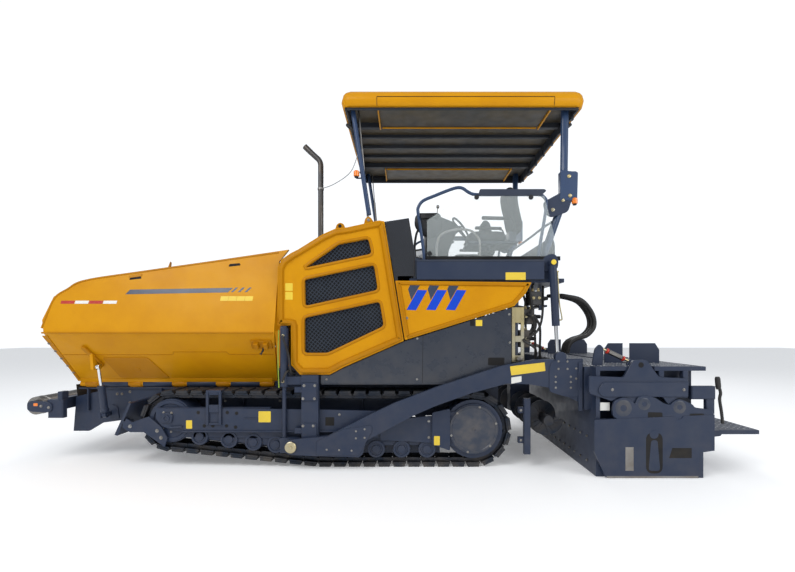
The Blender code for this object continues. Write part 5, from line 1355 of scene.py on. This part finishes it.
def makeDeck(side, s):
    rail = tube(smoothPath([(x, 1.13, z) for x, z in deck["rail"]], 4), 0.0165, 14)
    feet = [lathe([(-0.001, 0.034), (0.010, 0.034), (0.013, 0.024)], (x, 1.13, 2.110), (0, 0, 1), 18)
        for x in (0.47, 1.64)]
    piece = makePiece("rail_" + side, gather(rail, *feet), "postBlue", "tractor", s)
    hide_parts("guard_rail_" + side)
    inner = tube(smoothPath([(0.60, 1.09, 2.115), (0.61, 1.09, 2.30), (0.66, 1.09, 2.395),
        (0.80, 1.09, 2.44), (0.95, 1.09, 2.43), (1.02, 1.09, 2.37), (1.05, 1.09, 2.30),
        (1.05, 1.09, 2.115)], 5), 0.012, 10)
    makePiece("grab_rail_" + side, inner, "wornSteel", "tractor", s)
    visor = plate(rounded(deck["visor"], 0.012, 3), 1.1475, 1.1625, 0.004)
    makePiece("glass_visor_" + side, visor, "slatePaint", "tractor", s)
    knobs = [lathe([(0, 0.020), (0.004, 0.024), (0.014, 0.024), (0.018, 0.018)], (x, 1.1565, z),
        (0, 1, 0), 18) for x, z in deck["knobs"]]
    clips = [box((x - 0.012, 1.132, z - 0.012), (x + 0.012, 1.1490, z + 0.012), 0.003)
        for x, z in deck["knobs"]]
    makePiece("glass_knobs_" + side, gather(*knobs, *clips), "blackPlastic", "tractor", s)
    seal = box((0.495, 1.142, 2.110), (1.86, 1.163, 2.152), 0.003)
    makePiece("glass_seal_" + side, seal, "deepBlack", "tractor", s)
    # the joint, blank label and hems of the box along the deck's edge
    label = plate([(1.292, 1.906), (1.495, 1.906), (1.495, 1.982), (1.292, 1.982)], 1.20, 1.2016, 0.0005)
    makePiece("deck_label_" + side, label, "labelYellow", "tractor", s)
    groove = box((0.397, 1.196, 1.906), (1.684, 1.2008, 1.912), 0.0008)
    makePiece("deck_groove_" + side, groove, "deepBlack", "tractor", s)
    hem = gather(box((0.396, 1.188, 2.094), (1.684, 1.206, 2.112), 0.004),
        box((0.396, 0.974, 2.094), (1.684, 0.992, 2.112), 0.004))
    makePiece("deck_box_hem_" + side, hem, "slatePaint", "tractor", s)
    ear = plate(rounded([(1.640, 2.060), (1.700, 2.150), (1.760, 2.178), (1.820, 2.165), (1.842, 2.10),
        (1.830, 2.02), (1.70, 1.99)], 0.03, 4), 1.1515, 1.1665, 0.004)
    makePiece("lift_ear_" + side, ear, "frameBlue", "tractor", s)
    cap = lathe([(0, 0.022), (0.004, 0.026), (0.010, 0.026), (0.013, 0.018)], (1.765, 1.238, 2.08),
        (0, 1, 0), 20)
    makePiece("lift_pin_cap_" + side, cap, "labelYellow", "tractor", s)
    # mirror on a bent arm by the front of the glass
    arm = tube(smoothPath([(0.385, 1.10, 2.11), (0.375, 1.10, 2.26), (0.395, 1.07, 2.40),
        (0.43, 1.04, 2.47)], 5), 0.012, 10)
    makePiece("mirror_arm_" + side, arm, "blackPlastic", "tractor", s)
    outline = rounded([(-0.150, 0.105), (0.120, 0.130), (0.150, -0.03), (0.075, -0.135), (-0.06, -0.13),
        (-0.160, -0.03)], 0.05, 5)
    levels = ((0.0, 0.030), (0.015, 0.004), (0.06, 0.0), (0.090, 0.030), (0.105, 0.075))
    shell = loft([raised(inset(outline, d), h, "xz") for h, d in levels])
    makePiece("mirror_shell_" + side, moved(shell, turnAbout((0, 0, 1), -18), (0.515, 0.985, 2.505)),
        "blackPlastic", "tractor", s, 50)
    pane = plate(inset(outline, 0.036), -0.0016, 0.0004, 0.0006)
    makePiece("mirror_pane_" + side, moved(pane, turnAbout((0, 0, 1), -18), (0.515, 0.985, 2.505)),
        "rodChrome", "tractor", s)
    # the box beside the hood's end
    wedge = box((0.372, 1.00, 1.932), (0.428, 1.150, 2.135), 0.006)
    makePiece("deck_step_" + side, wedge, "slatePaint", "tractor", s)


def makeDeckPlate():
    for side, s in sides:
        makePiece("deck_tread_" + side, checker((0.56, 0.02), (1.86, 0.96), 1.925), "walkSteel",
            "tractor", s)
    rear = plate(rounded([(-1.02, 1.945), (1.02, 1.945), (1.02, 2.30), (0.94, 2.40), (-0.94, 2.40),
        (-1.02, 2.30)], 0.03, 3), 1.842, 1.852, 0.003, "yz")
    makePiece("deck_back_plate", rear, "frameBlue", "tractor")
    rail = tube(smoothPath([(1.847, -0.95, 2.40), (1.847, -0.94, 2.50), (1.847, -0.86, 2.56),
        (1.847, 0, 2.56), (1.847, 0.86, 2.56), (1.847, 0.94, 2.50), (1.847, 0.95, 2.40)], 6), 0.015, 12)
    makePiece("deck_back_rail", rail, "postBlue", "tractor")
    ladder = gather(box((1.905, -0.28, 1.68), (2.005, 0.28, 1.705), 0.005),
        *[box((1.895, y - 0.012, 1.64), (1.935, y + 0.012, 1.93), 0.004) for y in (-0.29, 0.29)])
    makePiece("deck_ladder", ladder, "frameBlue", "tractor")


console = {"dials": (-0.22, -0.10, 0.10, 0.22)}


def makeConsole():
    # a moulded stand whose sides draw in, with a sloping panel of dials, switches and levers
    outline = [(0.530, 1.926), (0.795, 1.926), (0.795, 2.34), (0.915, 2.615), (0.860, 2.695),
        (0.605, 2.795), (0.530, 2.735)]
    steps = ((-0.38, 0.022), (-0.368, 0.008), (-0.350, 0.0), (0.350, 0.0), (0.368, 0.008), (0.38, 0.022))
    stand = loft([raised(inset(rounded(outline, 0.05, 4), d), h, "xz") for h, d in steps])
    piece = makePiece("console_stand", stand, "blackPlastic", "tractor", 1, 50)
    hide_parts("control_console")
    # the panel leans back: its own directions are up the slope and out of it
    foot, head = np.array((0.868, 2.692)), np.array((0.612, 2.790))
    slope = (head - foot) / np.linalg.norm(head - foot)
    out = np.array((slope[1], -slope[0]))
    matrix = [(slope[0], 0, out[0]), (0, 1, 0), (slope[1], 0, out[1])]

    def lean(shape):
        return moved(shape, matrix, (foot[0], 0, foot[1]))

    panel = lean(plate(rounded([(0.02, -0.33), (0.255, -0.33), (0.255, 0.33), (0.02, 0.33)], 0.02, 3),
        -0.002, 0.006, 0.002, "xy"))
    makePiece("console_panel", panel, "slatePaint", "tractor")
    rims = [lean(moved(lathe([(0.004, 0.040), (0.014, 0.040), (0.016, 0.034), (0.009, 0.032)], (0, 0, 0),
        (0, 0, 1), 24), np.eye(3), (0.19, y, 0))) for y in console["dials"]]
    makePiece("dial_rims", gather(*rims), "rodChrome", "tractor")
    faces = [lean(moved(lathe([(0.006, 0.032), (0.0095, 0.032)], (0, 0, 0), (0, 0, 1), 24), np.eye(3),
        (0.19, y, 0))) for y in console["dials"]]
    makePiece("dial_faces", gather(*faces), "labelWhite", "tractor")
    keys = [lean(box((0.05 + 0.04 * r, y, 0.004), (0.075 + 0.04 * r, y + 0.022, 0.014), 0.003))
        for r in range(2) for y in np.arange(-0.30, 0.29, 0.05)]
    makePiece("console_keys", gather(*keys), "blackPlastic", "tractor")
    stop = lean(lathe([(0.004, 0.016), (0.016, 0.016), (0.018, 0.024), (0.034, 0.024), (0.038, 0.018)],
        (0.20, 0.30, 0.0), (0, 0, 1), 20))
    makePiece("stop_button", stop, "clampRed", "tractor")
    turn = np.linspace(0, 2 * np.pi, 41)
    wheelPlace, tip = np.array((0.985, 0.0, 2.700)), turnAbout((0, 1, 0), 52)
    ring = np.stack([0.155 * np.cos(turn[:-1]), 0.155 * np.sin(turn[:-1]), np.zeros(40)], axis=1)
    around = np.stack([np.cos(turn[:-1]), np.sin(turn[:-1]), np.zeros(40)], axis=1)
    small = np.linspace(0, 2 * np.pi, 12, endpoint=False)
    section = around[:, None] * np.cos(small)[None, :, None]
    section = section + np.array((0, 0, 1.0)) * np.sin(small)[None, :, None]
    rings = ring[:, None] + 0.013 * section
    wheel = moved(loft(rings, closed=True), tip, wheelPlace)
    spokes = [moved(tube([(0, 0, -0.012), (0.15 * math.cos(a), 0.15 * math.sin(a), 0)], 0.009, 8), tip,
        wheelPlace) for a in (0.5, 2.6, 4.7)]
    hub = moved(lathe([(-0.19, 0.020), (-0.03, 0.024), (-0.02, 0.040), (0.010, 0.036), (0.014, 0.024)],
        (0, 0, 0), (0, 0, 1), 20), tip, wheelPlace)
    makePiece("steering_wheel", gather(wheel, hub, *spokes), "blackPlastic", "tractor", 1, 50)
    levers = [gather(tube([(0.66 + 0.02 * k, y, 2.765), (0.67 + 0.02 * k, y, 2.875)], 0.006, 8),
        lathe([(0, 0.010), (0.012, 0.018), (0.03, 0.018), (0.04, 0.010)], (0.67 + 0.02 * k, y, 2.868),
            (0.1, 0, 1), 14)) for k, y in enumerate((-0.31, 0.24))]
    makePiece("console_levers", gather(*levers), "wornSteel", "tractor")


# seats
cushion = {"voxel": 0.009, "pressure": 4.0, "cap": 0.022, "frames": 20}


def padShape(size, crown, pull, steps=14):
    # a box's six faces pushed out to a rounded block: each point from -1 to 1 is drawn towards the
    # ball,
    # the large faces rise by the crown in the middle, and the sides pull in between their corners
    u, v = np.meshgrid(np.linspace(-1, 1, steps), np.linspace(-1, 1, steps), indexing="ij")
    sheets, loops, count = [], [], 0
    for axis in range(3):
        for sign in (-1, 1):
            point = np.empty((steps, steps, 3))
            point[..., axis] = sign
            point[..., (axis + 1) % 3] = u
            point[..., (axis + 2) % 3] = v
            index = np.arange(steps * steps).reshape(steps, steps) + count
            quads = np.stack([index[:-1, :-1], index[1:, :-1], index[1:, 1:], index[:-1, 1:]],
                axis=-1).reshape(-1, 4)
            loops += (quads if sign > 0 else quads[:, ::-1]).tolist()
            sheets.append(point.reshape(-1, 3))
            count += steps * steps
    p = np.vstack(sheets)
    p = p / (np.sum(np.abs(p) ** 5, axis=1) ** 0.2)[:, None]
    middle = (1 - p[:, 0] ** 2).clip(0) * (1 - p[:, 1] ** 2).clip(0)
    p[:, 2] += crown * middle * np.sign(p[:, 2])
    p[:, 0] *= 1 - pull * (1 - p[:, 1] ** 2).clip(0)
    p[:, 1] *= 1 - pull * (1 - p[:, 0] ** 2).clip(0)
    return p * np.asarray(size) / 2, loops


def makeCushion(name, size, matrix, place, body, s):
    shape = moved(padShape(np.array(size) * (0.93, 0.93, 0.80), 0.10, 0.012), matrix, place)
    piece = makePiece(name, shape, "seatFabric", body, s, 60)
    joined = bmesh.new()
    joined.from_mesh(piece.data)
    bmesh.ops.remove_doubles(joined, verts=joined.verts, dist=0.0004)
    bmesh.ops.recalc_face_normals(joined, faces=joined.faces)
    joined.to_mesh(piece.data)
    joined.free()
    remesh = piece.modifiers.new("remesh", "REMESH")
    remesh.mode = "VOXEL"
    remesh.voxel_size = cushion["voxel"]
    remesh.use_smooth_shade = True
    applyModifiers(piece)
    rest = readPoints(piece.data)
    cloth = piece.modifiers.new("cloth", "CLOTH")
    cloth.settings.quality = 5
    cloth.settings.mass = 0.3
    cloth.settings.use_pressure = True
    cloth.settings.uniform_pressure_force = cushion["pressure"]
    cloth.settings.effector_weights.gravity = 0
    cloth.point_cache.frame_start = 1
    cloth.point_cache.frame_end = cushion["frames"]
    for frameNumber in range(1, cushion["frames"] + 1):
        bpy.context.scene.frame_set(frameNumber)
    applyModifiers(piece)
    swollen = readPoints(piece.data)
    move = swollen - rest
    far = np.linalg.norm(move, axis=1)[:, None]
    kept = rest + move * np.minimum(1.0, cushion["cap"] / np.maximum(far, 1e-9))
    piece.data.vertices.foreach_set("co", kept.ravel())
    piece.data.update()
    bpy.context.scene.frame_set(1)
    piece.data.shade_smooth()
    finer = piece.modifiers.new("finer", "SUBSURF")
    finer.levels = finer.render_levels = 1
    applyModifiers(piece)
    return piece


def readPoints(mesh):
    points = np.empty(len(mesh.vertices) * 3)
    mesh.vertices.foreach_get("co", points)
    return points.reshape(-1, 3)


def applyModifiers(piece):
    bpy.context.view_layer.update()
    graph = bpy.context.evaluated_depsgraph_get()
    done = bpy.data.meshes.new_from_object(piece.evaluated_get(graph))
    piece.modifiers.clear()
    done.materials.clear()
    done.materials.append(materials["seatFabric"])
    piece.data = done


def makeSeat(side, s):
    lean = turnAbout((0, 1, 0), 90 - 11)
    pad = makeCushion("seat_pad_" + side, (0.50, 0.46, 0.115), np.eye(3), (1.165, 0.74, 2.400),
        "tractor", s)
    makeCushion("seat_back_" + side, (0.60, 0.45, 0.100), lean, (1.455, 0.74, 2.700), "tractor", s)
    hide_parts("seat_" + side)
    pan = gather(box((0.945, 0.52, 2.318), (1.41, 0.96, 2.346), 0.010),
        box((1.395, 0.56, 2.33), (1.47, 0.92, 2.46), 0.012))
    foot = (1.17, 0.74, 1.9265)
    column = gather(lathe([(0, 0.13), (0.012, 0.13), (0.016, 0.10), (0.07, 0.095)], foot, (0, 0, 1), 28),
        lathe([(0.06, 0.055), (0.395, 0.055)], foot, (0, 0, 1), 22))
    folds = [lathe([(0, 0.060), (0.008, 0.085), (0.018, 0.085), (0.026, 0.060)],
        (1.17, 0.74, 2.00 + 0.03 * k), (0, 0, 1), 24) for k in range(9)]
    makePiece("seat_pan_" + side, gather(pan, column), "slatePaint", "tractor", s)
    makePiece("seat_bellows_" + side, gather(*folds), "hoseRubber", "tractor", s, 50)
    rests = []
    top = rounded([(1.09, 2.572), (1.40, 2.566), (1.40, 2.598), (1.09, 2.606)], 0.014, 4)
    for y in (0.505, 0.975):
        bent = [(1.43, y, 2.42), (1.42, y, 2.54), (1.36, y, 2.575), (1.12, y, 2.58)]
        rests += [tube(smoothPath(bent, 5), 0.010, 10), plate(top, y - 0.026, y + 0.026, 0.012)]
    makePiece("seat_arm_rests_" + side, gather(*rests), "blackPlastic", "tractor", s)


for side, s in sides:
    makeDeck(side, s)
    makeSeat(side, s)
makeDeckPlate()
makeConsole()
print("deck, seats and console made")


# push beam, frame nose and conveyors
nose = {"face": 0.80, "bolts": [(-2.890, 0.696), (-2.837, 0.696), (-2.75, 0.60), (-2.75, 0.72),
    (-1.70, 0.62), (-1.10, 0.62)]}


def makeFront():
    for side, s in sides:
        caps = [lathe([(0, 0.086), (0.010, 0.094), (0.016, 0.094)], (-3.645, y, 0.595), (0, d, 0), 32)
            for y, d in ((0.166, -1), (0.954, 1))]
        grooves = [lathe([(-0.012, 0.0952), (-0.010, 0.0975), (0.010, 0.0975), (0.012, 0.0952)],
            (-3.645, y, 0.595), (0, 1, 0), 32) for y in (0.24, 0.88)]
        makePiece("push_roller_caps_" + side, gather(*caps, *grooves), "wornSteel",
            "push_roller_" + side, s)
        # brackets, blocks and the cast end of the beam
        parts = [box((-3.495, 0.93, 0.47), (-3.335, 1.005, 0.665), 0.010),
            box((-3.394, 0.90, 0.655), (-3.345, 1.0, 0.748), 0.006)]
        parts.append(plate(rounded([(-3.70, 0.560), (-3.70, 0.635), (-3.66, 0.655), (-3.49, 0.645),
            (-3.44, 0.62), (-3.44, 0.55), (-3.49, 0.53), (-3.66, 0.54)], 0.02, 3), 1.001, 1.020, 0.004))
        parts.append(box((-3.508, 0.20, 0.562), (-3.497, 0.90, 0.640), 0.003))
        makePiece("push_beam_blocks_" + side, gather(*parts), "frameBlue", "push_beam", s)
        patch = plate(rounded([(-3.63, 0.600), (-3.585, 0.600), (-3.585, 0.630), (-3.63, 0.630)], 0.008,
            2), 1.0195, 1.0212, 0.0005)
        makePiece("push_beam_patch_" + side, patch, "lampOrange", "push_beam", s)
        bolts("push_beam_bolts_" + side, [(-3.55, 1.020, 0.60), (-3.47, 1.020, 0.585)], 0.016,
            "push_beam", s)
        front = [(-3.508, y, 0.60) for y in (0.28, 0.42, 0.70, 0.82)]
        bolts("push_plate_bolts_" + side, front, 0.015, "push_beam", s, direction=(-1, 0, 0))
        # plates on the frame's side above the track, with a row of stiffeners
        y = nose["face"]
        bolts("nose_bolts_" + side, [(x, y, z) for x, z in nose["bolts"]], 0.016, "tractor", s)
        ribs = [box((x, y - 0.002, 0.52), (x + 0.018, y + 0.035, 0.765), 0.004)
            for x in (-3.20, -2.40, -1.50, -0.20, 0.60)]
        strip = box((-3.30, y - 0.002, 0.752), (1.25, y + 0.022, 0.768), 0.004)
        makePiece("frame_ribs_" + side, gather(strip, *ribs), "frameBlue", "tractor", s)
        foot = plate(rounded([(-3.02, 0.42), (-2.99, 0.56), (-2.94, 0.585), (-2.88, 0.56), (-2.86, 0.42)],
            0.02, 3), y - 0.002, y + 0.012, 0.003)
        makePiece("nose_plate_" + side, foot, "frameBlue", "tractor", s)
    # flight bars of the two conveyors, seen in the open hopper, and the bolted guard between them
    top = float(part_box("conveyor")[1][2])
    for side, s in sides:
        flights = copies(box((-0.014, 0.05, 0.0), (0.014, 0.70, 0.022), 0.004), [(x, 0, top - 0.001)
            for x in np.arange(-2.90, -1.02, 0.14)])
        plates = [box((-0.026, low, 0.0), (0.026, high, 0.020), 0.003)
            for low, high in ((0.12, 0.135), (0.16, 0.175), (0.60, 0.615), (0.64, 0.655))]
        chain = copies(gather(*plates), [(x, 0, top - 0.001) for x in np.arange(-2.87, -1.04, 0.07)])
        makePiece("conveyor_flights_" + side, gather(flights, chain), "chainSteel", "tractor", s)
    wide = np.array([(-2.94, -0.045), (-1.03, -0.045), (-1.03, 0.045), (-2.94, 0.045)])
    narrow = np.array([(-2.90, -0.008), (-1.03, -0.008), (-1.03, 0.008), (-2.90, 0.008)])
    guard = loft([raised(wide, top - 0.002, "xy"), raised(narrow, top + 0.060, "xy")])
    makePiece("conveyor_guard", guard, "machineYellow", "tractor")
    # rubber flap across the hopper's mouth
    apron = plate([(-0.76, 0.62), (0.76, 0.62), (0.79, 0.80), (-0.79, 0.80)], -3.352, -3.343, 0.003, "yz")
    makePiece("hopper_apron", apron, "hoseRubber", "tractor")
    frontBolts = [(-3.352, y, 0.78) for y in np.arange(-0.70, 0.75, 0.20)]
    bolts("apron_bolts", frontBolts, 0.014, "tractor", 1, direction=(-1, 0, 0))


makeFront()
print("front made")
